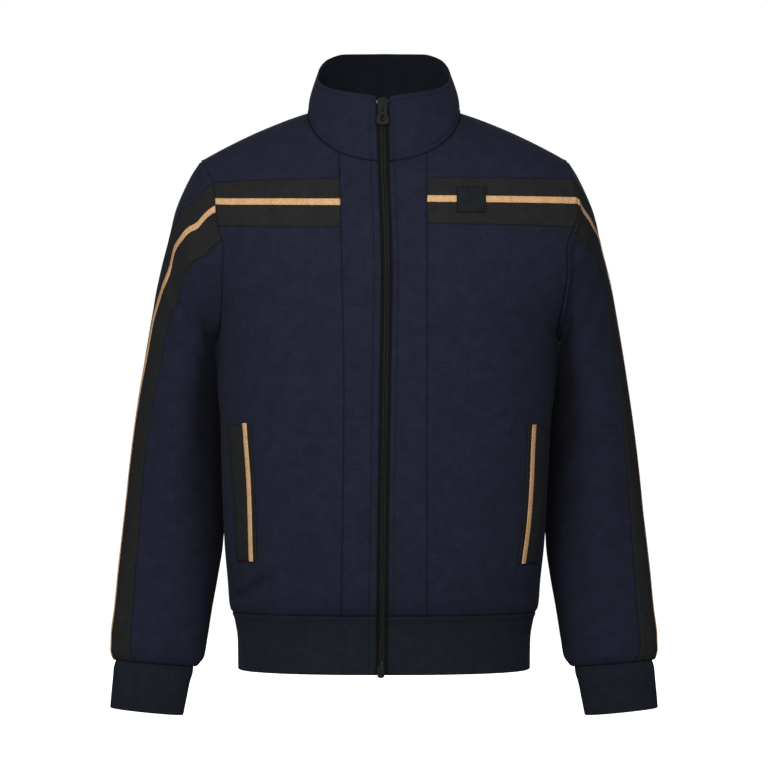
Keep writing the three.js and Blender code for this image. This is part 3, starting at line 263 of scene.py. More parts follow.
def closing(x, z):
    """What is left of a section's depth at a height, from 1 at the underarm to 0 on the shoulder line."""
    share = np.clip((z - UNDERARM_Z) / (shoulder_z(x) - UNDERARM_Z), 0, 1)
    return 1 - share ** CROWN_ROUND


def body_depth(side, face, x, z):
    rounding = round_of(face, z)
    across = np.maximum(0, 1 - np.clip(x / half_width(side, z), 0, 1) ** rounding) ** (1 / rounding)
    return reach_of(face, z) * across * closing(x, z) ** (1 / CROWN_ROUND)


def body_out(side, face, at):
    """The way straight out of the cloth at points of the body."""

    def level(x, y, z):
        rounding = round_of(face, z)
        across = 1 - (np.abs(x) / half_width(side, z)) ** rounding
        closed = closing(np.abs(x), z) ** (rounding / CROWN_ROUND)
        return (np.abs(y) / reach_of(face, z)) ** rounding - across * closed

    probe = 0.04  # small enough that the surface is flat over it
    x, y, z = np.abs(at[..., 0]), at[..., 1], at[..., 2]
    slope = stack(
        level(x + probe, y, z) - level(x - probe, y, z),
        level(x, y + probe, z) - level(x, y - probe, z),
        level(x, y, z + probe) - level(x, y, z - probe),
    )
    return unit(slope) * (side, 1, 1)


HALF_SEAM = 0.15  # what front and back each keep from the shoulder line


def body_point(side, face, x, z):
    depth = np.maximum(HALF_SEAM, body_depth(side, face, x, z))
    return stack(side * x, face * depth, z)


NAPE_Y = float(body_depth(LEFT, BACK, 0.0, 0.0))


def spread(share):
    """Distance out for a share of the way round a section, 0 in the middle of the front to 1 at the side."""
    return np.sin(share * math.pi / 2) ** (2 / FRONT_ROUND)


def share_of(fraction):
    return np.arcsin(np.clip(fraction, 0, 1) ** (FRONT_ROUND / 2)) * 2 / math.pi


# ------------------------------------------------------------------ the armhole

ARMHOLE_MID = (SHOULDER_TIP_Z + UNDERARM_Z) / 2
ARMHOLE_HALF = (SHOULDER_TIP_Z - UNDERARM_Z) / 2
PAST_TIP, HALVINGS, TINY = 20, 40, 1e-6  # how the armhole's place on the body is searched for


def armhole_z(turn):
    return ARMHOLE_MID - ARMHOLE_HALF * np.cos(turn * 2 * math.pi)


def armhole_point(side, turn):
    """A point of the armhole: turn is 0 under the arm, 0.25 in front, 0.5 at the tip, 0.75 behind."""
    turn = np.asarray(turn, float) % 1
    angle = turn * 2 * math.pi
    z = armhole_z(turn)
    before = turn < 0.5
    y = -np.where(before, ARMHOLE_REACH[FRONT], ARMHOLE_REACH[BACK]) * np.sin(angle)
    near, far = np.zeros_like(turn), np.full_like(turn, TIP_X + PAST_TIP)
    for _ in range(HALVINGS):
        x = (near + far) / 2
        depth = np.where(before, body_depth(side, FRONT, x, z), body_depth(side, BACK, x, z))
        inside = depth > np.abs(y) + TINY
        near, far = np.where(inside, x, near), np.where(inside, far, x)
    return stack(side * near, y, z)


def turn_at(face, z):
    turn = np.arccos(np.clip((ARMHOLE_MID - z) / ARMHOLE_HALF, -1, 1)) / (2 * math.pi)
    return turn if face == FRONT else 1 - turn


def body_edge(side, face, z):
    """The body's outer edge at a height: the side seam, the armhole, or the shoulder tip above it."""
    z = np.asarray(z, float)
    arm = np.abs(armhole_point(side, turn_at(face, z))[..., 0])
    return np.where(z <= UNDERARM_Z, half_width(side, z), np.where(z >= SHOULDER_TIP_Z, TIP_X, arm))


# ------------------------------------------------------------------ the sleeves' surface


def ring_at(columns, row, side):
    ring = {name: along(columns, name, row, "row") for name in columns if name != "row"}
    if side == LEFT:
        wider = half_width(LEFT, ring["in_z"]) - half_width(RIGHT, ring["in_z"])
        ring["in_x"] = ring["in_x"] + wider * np.where(ring["in_z"] < UNDERARM_Z, 1, LEFT_INNER_EASE)
    return ring


def ring_point(side, ring, turn):
    """A point of a closed section given by its outer and inner edge, its depth and its middle."""
    angle = turn * 2 * math.pi

    def bend(value):
        return np.sign(value) * np.abs(value) ** (2 / ring["round"])

    share = (1 - bend(np.cos(angle))) / 2
    x = side * mix(ring["in_x"], ring["out_x"], share)
    y = ring["mid"] - ring["deep"] * bend(np.sin(angle))
    return stack(x, y, mix(ring["in_z"], ring["out_z"], share))


# Troughs (and, with a minus, ridges) across the sleeves: the place along and round the sleeve, half its
# length round the arm in turns, how it slants, its depth and its half width in rows.
SLEEVE_CREASES = {
    RIGHT: table("row turn reach slant depth width", [
        (5.2, 0.33, 0.14, -7, 4.5, 0.62),
        (6.9, 0.31, 0.12, -6, 3.5, 0.6),
        (5.8, 0.72, 0.13, 6, 3.5, 0.62),
        (1.4, 0.34, 0.12, 0, 2.6, 0.8),
        (3, 0.15, 0.09, 0, 8, 2.4),
        (8, 0.12, 0.075, 0, 8, 3.6),
        (8.6, 0.24, 0.12, -5, 1.6, 0.5),
        (10.6, 0.2, 0.12, -6, 1.8, 0.5),
        (12.3, 0.22, 0.14, 5, 1.5, 0.5),
        (9.4, 0.8, 0.13, 6, 2.2, 0.55),
        (11.2, 0.76, 0.14, 6, 2.4, 0.5),
        (13.1, 0.8, 0.12, -5, 1.6, 0.5),
        (15.9, 0.24, 0.13, 3, 1.3, 0.35),
        (17, 0.32, 0.1, -2, 1, 0.22),
        (16.8, 0.7, 0.12, -2, 1.2, 0.24),
    ]),
    LEFT: table("row turn reach slant depth width", [
        (5.6, 0.34, 0.12, -6, 3, 0.62),
        (6.1, 0.7, 0.13, 6, 3.5, 0.62),
        (1.4, 0.34, 0.12, 0, 2.6, 0.8),
        (3, 0.15, 0.09, 0, 9, 2.4),
        (7.5, 0.12, 0.08, 0, 9, 3.8),
        (8.9, 0.2, 0.13, -6, 2, 0.5),
        (11, 0.19, 0.12, -6, 2.4, 0.5),
        (13.6, 0.26, 0.15, -5, 2.2, 0.5),
        (9.1, 0.78, 0.13, 6, 2, 0.55),
        (11.4, 0.8, 0.14, 6, 2.6, 0.5),
        (13.4, 0.74, 0.12, -5, 1.5, 0.5),
        (16.1, 0.22, 0.12, -3, 1.6, 0.35),
        (17, 0.36, 0.1, 2, 0.9, 0.22),
        (16.7, 0.68, 0.12, 2, 1.2, 0.24),
    ]),
}
SLEEVE_PINNED = 0.9  # rows from the armhole over which its creases fade in


def sleeve_point(side, row, turn):
    turn = np.asarray(turn, float) % 1
    row = np.maximum(0, row)
    ring = ring_at(SLEEVE, row, side)
    point = ring_point(side, ring, turn)
    settle = np.maximum(0, 1 - row / SLEEVE_SETTLES) ** 2
    pull = armhole_point(side, turn) - ring_point(side, ring_at(SLEEVE, 0.0, side), turn)
    point = point + pull * (settle + 0 * turn)[..., None]
    middle_x, middle_z = (mix(ring["in_" + way], ring["out_" + way], 0.5) for way in "xz")
    middle = stack(side * middle_x, ring["mid"], middle_z)
    depth = 0 * turn
    for r, t, reach, slant, deep, width in zip(*SLEEVE_CREASES[side].values()):
        over = (turn - t) / reach
        across = (row - r - slant * (turn - t)) / width
        depth = depth + deep * np.exp(-over * over - across * across)
    depth = depth * smooth(row / SLEEVE_PINNED)
    return point + unit(middle - point) * depth[..., None]


def ring_out(place, side, row, turn):
    """The way straight out of a tube given by a function of row and turn."""
    turn_probe, row_probe = 0.004, 0.04
    around = place(side, row, turn + turn_probe) - place(side, row, turn - turn_probe)
    down = place(side, row + row_probe, turn) - place(side, row - row_probe, turn)
    return unit(np.cross(down, around)) * side


def mitre(side, turn):
    """At the armhole both walls share one direction, halfway between the body's way out and the sleeve's."""
    at = armhole_point(side, turn)
    front, back = at.copy(), at.copy()
    front[..., 1] = np.minimum(front[..., 1], -HALF_SEAM)
    back[..., 1] = np.maximum(back[..., 1], HALF_SEAM)
    before = (np.asarray(turn) % 1 < 0.5)[..., None]
    own = np.where(before, body_out(side, FRONT, front), body_out(side, BACK, back))
    return unit(own + ring_out(sleeve_point, side, 0.0, turn))


SLEEVE_ROWS = 18


def beside_stripe(side, offset):
    """The line at a distance round the sleeve from the middle of its stripe, as a turn for any row."""
    girth_rows = np.linspace(0, SLEEVE_ROWS, 37)
    points = sleeve_point(side, girth_rows[..., None], np.linspace(0, 1, 49))
    girths = length_of(np.diff(points, axis=-2)).sum(-1)

    def turn(rows):
        return along(BAND_LINE, WORD[side], rows, "row") + offset / np.interp(rows, girth_rows, girths)

    return turn


# ------------------------------------------------------------------ creases

# Soft ridges (height above 0) and troughs (below 0) of the body, unrolled round the side seams' middle line.
# turned is degrees round from the middle of the front, + to the wearer's left; angle is the crease's own
# slope from level; half is half its length; bow is how much its middle hangs; width is its half width.
UNROLLED = 2.8  # millimetres of cloth to a degree
BODY_CREASES = table("turned z half angle bow width height", [
    (-90, -292, 60, 90, 0, 16, 4.5),
    (90, -292, 60, 90, 0, 16, 4.5),
    (-62, -563, 34, 24, 4, 8, -4.8),
    (-58, -550, 40, 30, 4, 9, 3.4),
    (-52, -225, 46, 52, 0, 16, -2.4),
    (55, -232, 50, -54, 0, 16, -2.2),
    (-38, -470, 90, 82, 6, 26, -2.6),
    (36, -440, 110, -84, 6, 28, -2.0),
    (62, -566, 40, -20, 4, 10, -2.2),
    (-24, -580, 24, 4, 0, 8, 1.1),
    (28, -579, 28, -4, 0, 8, 1.1),
    (-128, -230, 60, -58, 0, 18, -2.4),
    (130, -236, 64, 56, 0, 18, -2.2),
    (-142, -300, 80, -74, 8, 22, -1.8),
    (146, -310, 84, 76, 8, 22, -1.8),
    (-120, -555, 40, -22, 4, 11, -2.2),
    (118, -560, 44, 20, 4, 11, -2.2),
    (-165, -480, 110, 86, 6, 26, -1.6),
    (163, -450, 120, -85, 6, 26, -1.6),
    (-150, -572, 30, 8, 0, 9, 1.3),
    (152, -573, 34, -8, 0, 9, 1.3),
    (178, -120, 70, 2, 14, 14, -1.2),
])


def soft_bar(over, across, half, width):
    """1 in the middle of a crease, fading softly across it and at its ends."""
    return np.exp(-(across / width) ** 2 - (over / half) ** 4)


def body_creases(at):
    """Height of the body's creases at points of its surface."""
    turned = np.degrees(np.arctan2(at[..., 0], -at[..., 1]))
    height = 0 * turned
    for degrees, z, half, angle, bow, width, raised in zip(*BODY_CREASES.values()):
        away = ((turned - degrees + 180) % 360 - 180) * UNROLLED
        up = at[..., 2] - z
        slope = math.radians(angle)
        over = away * math.cos(slope) + up * math.sin(slope)
        across = up * math.cos(slope) - away * math.sin(slope) + bow * (1 - (over / half) ** 2)
        height = height + raised * soft_bar(over, across, half, width)
    return height


# ------------------------------------------------------------------ cloth

CLOTH = 1.8  # one layer of double knit
DOUBLE = 3.0  # collar, waistband and cuffs are two layers
BRAID = 0.8
LEAST_CLOTH = 0.2  # what is left between face and back in the depth of a seam
SEAM_DIP = 0.9  # how far a seam is pressed in
SEAM_ROLL = 2.3  # how far from the seam the cloth is level again
ALLOWANCE = {"height": 0.45, "at": 3.8, "width": 2.2}  # the turned-in cloth that shows beside a seam
GROOVE = {"depth": 1.0, "width": 1.0}  # how a row of topstitching sinks into the cloth


def seam_height(distance):
    """Height of the cloth at a distance from a seam: pressed in, then raised over its seam allowance."""
    pressed = -SEAM_DIP * np.maximum(0, 1 - distance / SEAM_ROLL) ** 2
    return pressed + ALLOWANCE["height"] * np.exp(-((distance - ALLOWANCE["at"]) / ALLOWANCE["width"]) ** 2)


def groove_height(distance):
    """Height of the cloth at a distance from a row of topstitching, which draws it down."""
    return -GROOVE["depth"] * np.exp(-(distance / GROOVE["width"]) ** 2)


def fold_height(distance, thick):
    """Height of the cloth at a distance from a folded edge, which is half a round."""
    half = thick / 2
    inside = np.clip(1 - distance / half, 0, 1)
    return half * (np.sqrt(1 - inside * inside) - 1)


def edge_distances(at):
    """Distance of each grid point from the grid's first and last column and row."""
    across, down = run_along(at, 1), run_along(at, 0)
    return {
        "first": across,
        "last": across[:, -1:] - across,
        "low": down,
        "high": down[-1:] - down,
    }


def cloth_piece(name, at, out, thick, finish, seams=(), folds=(), stitched=None, height=0.0,
                closed=False, back=None, on=None):
    """A thin closed shell from a grid of points and the way out at each.

    seams and folds name the edges that are sewn or folded: first and last column, low and high row. stitched
    gives how far in from an edge a row of topstitching runs. on is the height of the cloth that it lies on.
    """
    distance = edge_distances(at)
    level = (body_creases(at) if on is None else on) + height
    face_height = level
    back_height = level - thick
    for edge in seams:
        face_height = face_height + seam_height(distance[edge])
    for edge, inset in (stitched or {}).items():
        face_height = face_height + groove_height(distance[edge] - inset)
    for edge in folds:
        drop = fold_height(distance[edge], thick)
        face_height = face_height + drop
        back_height = back_height - drop
    face = at + out * face_height[..., None]
    reverse = at + out * np.minimum(back_height, face_height - LEAST_CLOTH)[..., None]
    return shell(name, face, reverse, finish, back or finish, closed)


def shell(name, face, reverse, finish, back_finish, closed):
    """A mesh of two grids, the face and the reverse, joined round their rims."""
    rows, columns = face.shape[:2]
    index = np.arange(rows * columns).reshape(rows, columns)
    if closed:
        index = np.concatenate([index, index[:, :1]], 1)
    behind = index + rows * columns
    wide = index.shape[1]
    turned = np.concatenate([face, face[:, :1]], 1) if closed else face
    u, v = run_along(turned, 1) * MM, run_along(turned, 0) * MM

    def quads(a, b, c, d):
        return np.stack([a.ravel(), b.ravel(), c.ravel(), d.ravel()], 1)

    def corners(grid):
        return grid[:-1, :-1], grid[:-1, 1:], grid[1:, 1:], grid[1:, :-1]

    def rim(front_line, back_line):
        return np.stack([front_line[:-1], back_line[:-1], back_line[1:], front_line[1:]], 1)

    faces = [quads(*corners(index)), quads(*corners(behind))[:, ::-1]]
    u_of, v_of = quads(*corners(u)), quads(*corners(v))
    uv = [np.stack([u_of, v_of], -1), np.stack([u_of, v_of], -1)[:, ::-1]]
    edges = [("row", 0, 1), ("row", rows - 1, -1)]
    if not closed:
        edges += [("column", 0, -1), ("column", wide - 1, 1)]
    for kind, place, sense in edges:
        front_line, back_line, line_u, line_v = (
            grid[place] if kind == "row" else grid[:, place] for grid in (index, behind, u, v))
        made = rim(front_line, back_line)
        made_uv = np.stack([rim(line_u, line_u), rim(line_v, line_v)], -1)
        faces.append(made if sense > 0 else made[:, ::-1])
        uv.append(made_uv if sense > 0 else made_uv[:, ::-1])
    points = np.concatenate([face.reshape(-1, 3), reverse.reshape(-1, 3)])
    face_count = [len(part) for part in faces]
    faces, uv = np.concatenate(faces), np.concatenate(uv)
    first, second, third = (points[faces[:, i]] for i in range(3))
    normal = np.cross(second - first, third - first)
    if (first * normal).sum() < 0:
        faces, uv = faces[:, ::-1], uv[:, ::-1]
    which = np.zeros(len(faces), np.int32)
    which[face_count[0]:face_count[0] + face_count[1]] = 1
    return mesh_piece(name, points, faces, [finish, back_finish], which, uv)


def mesh_piece(name, points, faces, finishes, which=None, uv=None):
    """A named piece from points in millimetres, which rides on the garment."""
    mesh = bpy.data.meshes.new(name)
    metres = (np.asarray(points, float) - (0, NAPE_Y, 0)) * MM
    mesh.from_pydata(metres.tolist(), [], np.asarray(faces).tolist())
    for finish in finishes:
        mesh.materials.append(finish)
    if which is not None:
        mesh.polygons.foreach_set("material_index", which)
    if uv is not None:
        layer = mesh.uv_layers.new(name="cloth")
        layer.data.foreach_set("uv", np.asarray(uv, np.float32).ravel())
    mesh.polygons.foreach_set("use_smooth", np.full(len(mesh.polygons), True))
    mesh.update()
    piece = bpy.data.objects.new(name, mesh)
    bpy.context.scene.collection.objects.link(piece)
    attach(piece, "garment")
    return piece


# ------------------------------------------------------------------ finishes


def linear(hex_colour):
    """An sRGB hex colour as the linear colour that a shader takes."""
    parts = [int(hex_colour[i:i + 2], 16) / 255 for i in (0, 2, 4)]
    return (*[p / 12.92 if p <= 0.04045 else ((p + 0.055) / 1.055) ** 2.4 for p in parts], 1)


def add_node(tree, kind, inputs=None, **settings):
    """Adds a shader node with its settings, its fixed values and its links."""
    made = tree.nodes.new("ShaderNode" + kind)
    for name, value in settings.items():
        setattr(made, name, value)
    for socket, value in (inputs or {}).items():
        if isinstance(value, bpy.types.NodeSocket):
            tree.links.new(value, made.inputs[socket])
        else:
            made.inputs[socket].default_value = value
    return made


def new_material(name):
    material = bpy.data.materials.new(name)
    material.use_nodes = True
    tree = material.node_tree
    tree.nodes.clear()
    output = add_node(tree, "OutputMaterial")
    return material, tree, output


def finish_with(tree, output, inputs):
    surface = add_node(tree, "BsdfPrincipled", inputs)
    tree.links.new(surface.outputs["BSDF"], output.inputs["Surface"])


def waves_per_metre(pitch):
    """The Wave texture's scale for a pitch in millimetres: one of its waves is 2 pi / 20 of a unit long."""
    return 2 * math.pi / 20 / (pitch * MM)


def mottled(tree, coordinate, colour, darker, size, contrast):
    """A colour that drifts between two over patches of about a size in millimetres."""
    noise = add_node(tree, "TexNoise", {"Vector": coordinate, "Scale": 1 / (size * MM), "Detail": 3.0})
    ramp = add_node(tree, "MapRange", {
        "Value": noise.outputs["Fac"],
        "From Min": 0.5 - contrast,
        "From Max": 0.5 + contrast,
    })
    blend = add_node(tree, "Mix", {"Factor": ramp.outputs["Result"]}, data_type="RGBA")
    blend.inputs["A"].default_value = linear(darker)
    blend.inputs["B"].default_value = linear(colour)
    return blend.outputs["Result"]


PAINTED_SHADE_REACH = 90  # how near another layer lies when it starts to paint shade into the cloth's colour
PATCH_OF_SHADE = 14  # the size of the knit's uneven patches, from pressing and handling
# Real fuzz is finer than half a millimetre. It is drawn at 2.6 so that it shows at the garment's full width.
FUZZ = 2.6
COURSE = 0.8  # a course's height for one wale's width, as in plain knit
LOOP_RELIEF = 0.12
COTTON_ROUGHNESS, COTTON_SPECULAR = 0.92, 0.2
SHEEN_TINT, SHEEN_ROUGHNESS = "8890b0", 0.5


def knit(name, colour, darker, wale, sheen=0.08, rib_depth=0.0, rib_pitch=0.0):
    """Knitted or woven cloth: wales up it, courses across them, a little fuzz, ribs where it has them, and
    painted shade where another layer lies close.

    A real wale is under a millimetre wide. wale is the coarser width at which it is drawn so that it shows.
    """
    material, tree, output = new_material(name)
    uv = add_node(tree, "UVMap", uv_map="cloth").outputs["UV"]
    place = add_node(tree, "TexCoord").outputs["Object"]
    base = mottled(tree, place, colour, darker, PATCH_OF_SHADE, 0.2)
    wales = add_node(tree, "TexWave", {"Vector": uv, "Scale": waves_per_metre(wale)}, bands_direction="X")
    rows_of_loops = {"Vector": uv, "Scale": waves_per_metre(wale * COURSE)}
    courses = add_node(tree, "TexWave", rows_of_loops, bands_direction="Y")
    crossed = {0: wales.outputs["Fac"], 1: courses.outputs["Fac"]}
    loops = add_node(tree, "Math", crossed, operation="MULTIPLY")
    fuzz = add_node(tree, "TexNoise", {"Vector": place, "Scale": 1 / (FUZZ * MM), "Detail": 3.0})
    grain = add_node(tree, "Math", {0: fuzz.outputs["Fac"], 1: loops.outputs["Value"]}, operation="ADD")
    # The hollows between loops look darker than their tops.
    shade = add_node(tree, "MapRange", {
        "Value": grain.outputs["Value"], "From Min": 0.4, "From Max": 1.1, "To Min": 0.62, "To Max": 1.3,
    })
    grained = add_node(tree, "VectorMath", {0: base, 1: shade.outputs["Result"]}, operation="MULTIPLY")
    # Painted shade: cloth that faces another layer close by is darkened in its colour, as beside the
    # armpits, beyond the shade that the lights cast.
    near = add_node(tree, "AmbientOcclusion", {"Distance": PAINTED_SHADE_REACH * MM}, samples=8)
    dark = add_node(tree, "MapRange", {
        "Value": near.outputs["AO"], "From Min": 0.3, "From Max": 0.93, "To Min": 0.12, "To Max": 1.04,
    })
    both = {0: grained.outputs["Vector"], 1: dark.outputs["Result"]}
    colour_in_painted_shade = add_node(tree, "VectorMath", both, operation="MULTIPLY")
    bump = add_node(tree, "Bump", {
        "Height": grain.outputs["Value"], "Strength": 0.35, "Distance": LOOP_RELIEF * MM,
    })
    if rib_depth:
        columns = {"Vector": uv, "Scale": waves_per_metre(rib_pitch)}
        ribs = add_node(tree, "TexWave", columns, bands_direction="X")
        bump = add_node(tree, "Bump", {
            "Height": ribs.outputs["Fac"],
            "Strength": 1.0,
            "Distance": rib_depth * MM,
            "Normal": bump.outputs["Normal"],
        })
    # The base colour carries the painted shade from the cloth close by.
    finish_with(tree, output, {
        "Base Color": colour_in_painted_shade.outputs["Vector"],
        "Roughness": COTTON_ROUGHNESS,
        "Specular IOR Level": COTTON_SPECULAR,
        "Sheen Weight": sheen,
        "Sheen Roughness": SHEEN_ROUGHNESS,
        "Sheen Tint": linear(SHEEN_TINT),
        "Normal": bump.outputs["Normal"],
    })
    return material


HANDLING = 2  # the size of the dulled patches on a small hard part
ORANGE_PEEL = {"size": 0.6, "depth": 0.02}  # how a cast, pressed or moulded skin ripples


def hard(name, colour, darker, roughness, metallic, specular=0.5):
    """A cast, pressed or moulded part: even, dulled in patches, with a faint ripple in its gloss."""
    material, tree, output = new_material(name)
    place = add_node(tree, "TexCoord").outputs["Object"]
    base = mottled(tree, place, colour, darker, HANDLING, 0.2)
    fine = {"Vector": place, "Scale": 1 / (ORANGE_PEEL["size"] * MM), "Detail": 2.0}
    noise = add_node(tree, "TexNoise", fine)
    rough = add_node(tree, "MapRange", {
        "Value": noise.outputs["Fac"], "To Min": roughness - 0.08, "To Max": roughness + 0.1,
    })
    bump = add_node(tree, "Bump", {
        "Height": noise.outputs["Fac"], "Strength": 0.4, "Distance": ORANGE_PEEL["depth"] * MM,
    })
    finish_with(tree, output, {
        "Base Color": base,
        "Metallic": metallic,
        "Specular IOR Level": specular,
        "Roughness": rough.outputs["Result"],
        "Normal": bump.outputs["Normal"],
    })
    return material


# Cotton double knit, knitted smooth on both faces: matt, deep navy, faintly blue where the light skims it.
NAVY = knit("navy double knit", "212437", "1b1e2e", 1.8)
# Its inner face, knitted alike: drawn darker and bluer, since it lies in the garment's own shade.
NAVY_BACK = knit("navy double knit, its back", "0e131f", "0a0e18", 1.8)
# The same knit dyed black: matt and neutral beside the navy.
BLACK = knit("black double knit", "272727", "212121", 1.8, sheen=0.05)
# Cotton rib with some elastane, knitted in close columns: fine upright lines, a little greyer than the body.
RIB = knit("navy rib knit", "1d232c", "181d26", 1.6, rib_depth=0.16, rib_pitch=2.4)
# Polyester braid, woven flat: pale tan, even and a little cleaner than the knit.
TAN = knit("tan woven braid", "e3b786", "d8a977", 1.4, sheen=0.05)
# Damask label, woven close: a flat charcoal square.
LABEL = knit("charcoal woven label", "1f2328", "17191e", 1.3, sheen=0.03)
# Polyester zip tape, woven tight: the blackest and flattest cloth here.
TAPE = knit("black zip tape", "0f0f0f", "0a0a0a", 1.2, sheen=0.03)
# Spun polyester thread, twisted, in navy: drawn darker than the cloth as painted shade for the sunk line of
# stitching, so that it reads as a line of small dashes.
THREAD_WITH_PAINTED_SHADE = knit("navy sewing thread", "14151d", "0f1017", 1.2, sheen=0.05)
# Nylon filament, drawn and wound to a coil: smooth black, with a fine light line along each side.
COIL_NYLON = hard("black nylon coil", "252526", "1e1e1f", 0.4, 0.0)
# Die-cast zinc under baked enamel: black, satin, lighter only on its rounded edges.
ENAMEL = hard("black enamelled zinc", "0d0d0e", "0a0a0b", 0.42, 0.0, specular=0.3)
# Pressed brass, nickel-plated and tumbled: a small soft glint.
NICKEL = hard("nickel-plated brass", "918f8b", "83817d", 0.34, 1.0)

# ------------------------------------------------------------------ body pieces

GRID = 4.0  # spacing of the finest cloth grids
MITRE_WIDTH = 7  # how far from the armhole a wall takes to turn to its own direction
LOWER_Z, CHEST_Z = -300, -110  # the heights at which a front panel's columns are counted
SECTION_LENGTH, PLACKET_LENGTH = 1.15, 50  # a front section's length over its half width, less the placket
SEWN_ALL_ROUND = ("first", "last", "low", "high")
PIECES = {}


def sewn_piece(node, grid, finish, **more):
    """A piece of one layer, sewn on all four edges, with the garment's dark inside."""
    at, out = grid
    name = "cloth_" + node
    PIECES[node] = cloth_piece(name, at, out, CLOTH, finish, seams=SEWN_ALL_ROUND, back=NAVY_BACK, **more)


def direction_near(distance, own, other):
    """Turns from one direction at an edge to the cloth's own, over a short width."""
    share = smooth(distance / MITRE_WIDTH)[..., None]
    return unit(mix(other, own, share))


def zip_edge_x(side, z):
    """How far out the folded edge beside the zip lies at a height."""
    return side * along(ZIP_LINE, "x", z) + ZIP_OPENING


def placket_top_x(side):
    return float(along(PLACKET_EDGE, WORD[side], PLACKET_TOP_Z))


def placket_share(side, z, edge):
    """Where the placket's seam lies round a section, as a share of the way to the section's outer edge."""
    return share_of(along(PLACKET_EDGE, WORD[side], z) / edge)


def front_levels(low, high):
    """Heights of a front panel's outer edge: even below the underarm, then evenly round the armhole."""
    levels = []
    if low < UNDERARM_Z:
        below = min(high, UNDERARM_Z)
        levels.append(np.linspace(low, below, max(2, round((below - low) / GRID))))
    if high > UNDERARM_Z:
        start, end = (float(turn_at(FRONT, max(z, UNDERARM_Z))) for z in (low, high))
        count = max(3, round((end - start) * 2 * math.pi * ARMHOLE_HALF / GRID))
        z = armhole_z(np.linspace(start, end, count))
        levels.append(z[1:] if levels else z)
    z = np.concatenate(levels)
    edge = np.array(NEAR_EDGE[:-1])
    inner = z[(z > low + NEAR_EDGE[-1]) & (z < high - NEAR_EDGE[-1])]
    return np.concatenate([[low], low + edge, inner, high - edge[::-1], [high]])


def line_at(line, share):
    return mix(line[0], line[1], share)


def front_point(side, share, z):
    """A front point, a share of the way from the placket seam to the outer edge, and its way out."""
    edge = body_edge(side, FRONT, z)
    start = placket_share(side, z, edge)
    at = body_point(side, FRONT, edge * spread(mix(start, 1, share)), z)
    return at, body_out(side, FRONT, at)


def front_grid(side, low, high, columns):
    """A front panel between two lines, each given by its height at the placket and at its outer edge."""
    levels = front_levels(low[1], high[1])
    heights = (levels - low[1]) / (high[1] - low[1])
    share = columns[None, :]
    z = mix(line_at(low, share), line_at(high, share), heights[:, None])
    at, out = front_point(side, share + 0 * z, z)
    on_arm = z[:, -1] > UNDERARM_Z
    turn = turn_at(FRONT, z[:, -1])
    at[on_arm, -1] = armhole_point(side, turn)[on_arm]
    distance = edge_distances(at)["last"]
    corner = mitre(side, turn)[:, None]
    return at, np.where(on_arm[:, None, None], direction_near(distance, out, corner), out)


def front_columns(side, z):
    """Shares across a front panel about as wide as it is at a height."""
    return shares(float(body_edge(side, FRONT, z)) * SECTION_LENGTH - PLACKET_LENGTH, GRID)


def crown_heights(bottom, top, ridge, count):
    """Heights up a column that ends at a top, in even steps of the curve that closes the shoulder."""

    def share_at(z):
        share = np.clip((z - UNDERARM_Z) / (ridge - UNDERARM_Z), 0, 1)
        return np.arcsin(share ** (CROWN_ROUND / 2))

    angle = mix(share_at(bottom), share_at(top), count[:, None])
    heights = UNDERARM_Z + (ridge - UNDERARM_Z) * np.sin(angle) ** (2 / CROWN_ROUND)
    heights[0] = bottom
    return heights


def neck_line(face, degrees):
    """Neckline: x and z at an angle, 0 in the middle of the front to 180 at the nape."""
    angle = np.radians(degrees)
    rise = shoulder_z(NECK_HALF) * np.sin(angle) ** (4 if face == FRONT else 2)
    return NECK_HALF * np.sin(angle), rise - (NECK_DROP * np.cos(angle) if face == FRONT else 0)


AT_SHOULDER, AT_NAPE = 90, 180  # degrees round the neckline
# How much of a panel's top edge is neckline. The rest is shoulder line.
YOKE_NECK_SHARE, BACK_NECK_SHARE = 5 / 11, 6 / 12


def crown_tops(face, share, start_degrees, neck_share):
    """x and z of a panel's top edge: the neckline, then the shoulder line out to its tip."""
    on_neck = np.clip(share / neck_share, 0, 1)
    neck_x, neck_z = neck_line(face, mix(start_degrees, AT_SHOULDER, on_neck))
    ridge_x = mix(NECK_HALF, TIP_X, np.clip((share - neck_share) / (1 - neck_share), 0, 1))
    on_ridge = share > neck_share
    return np.where(on_ridge, ridge_x, neck_x), np.where(on_ridge, shoulder_z(ridge_x), neck_z)


def crown_grid(side, face, share, bottom, steps, start_degrees, neck_share):
    """The part of a panel that closes into the shoulder line, from its bottom line up to its top edge."""
    top_x, top_z = crown_tops(face, share, start_degrees, neck_share)
    z = crown_heights(bottom, top_z, shoulder_z(top_x), steps)
    turn = mix(turn_at(face, bottom[-1]), 0.5, steps)
    z[:, -1] = armhole_z(turn)
    edge = body_edge(side, face, z)
    start = share[None, :]
    if face == FRONT:
        start = mix(placket_share(side, bottom[None, :], edge[:1]), 1, share)
    x = edge * spread(mix(start, share_of(top_x / TIP_X), steps[:, None]))
    if face == FRONT:
        x[:, 0] = placket_top_x(side)
    at = body_point(side, face, np.minimum(x, shoulder_x(z)), z)
    out = body_out(side, face, at)
    at[:, -1] = armhole_point(side, turn)
    at[:, -1, 1] = np.minimum(at[:, -1, 1], 0) if face == FRONT else np.maximum(at[:, -1, 1], 0)
    corner = mitre(side, turn)[:, None]
    return at, direction_near(edge_distances(at)["last"], out, corner)


TOPSTITCH = {RIGHT: 8.0, LEFT: 6.4}  # in from the folded edges beside the zip
COLLAR_STITCH = 6.4  # in from the collar's seam and from its top edge


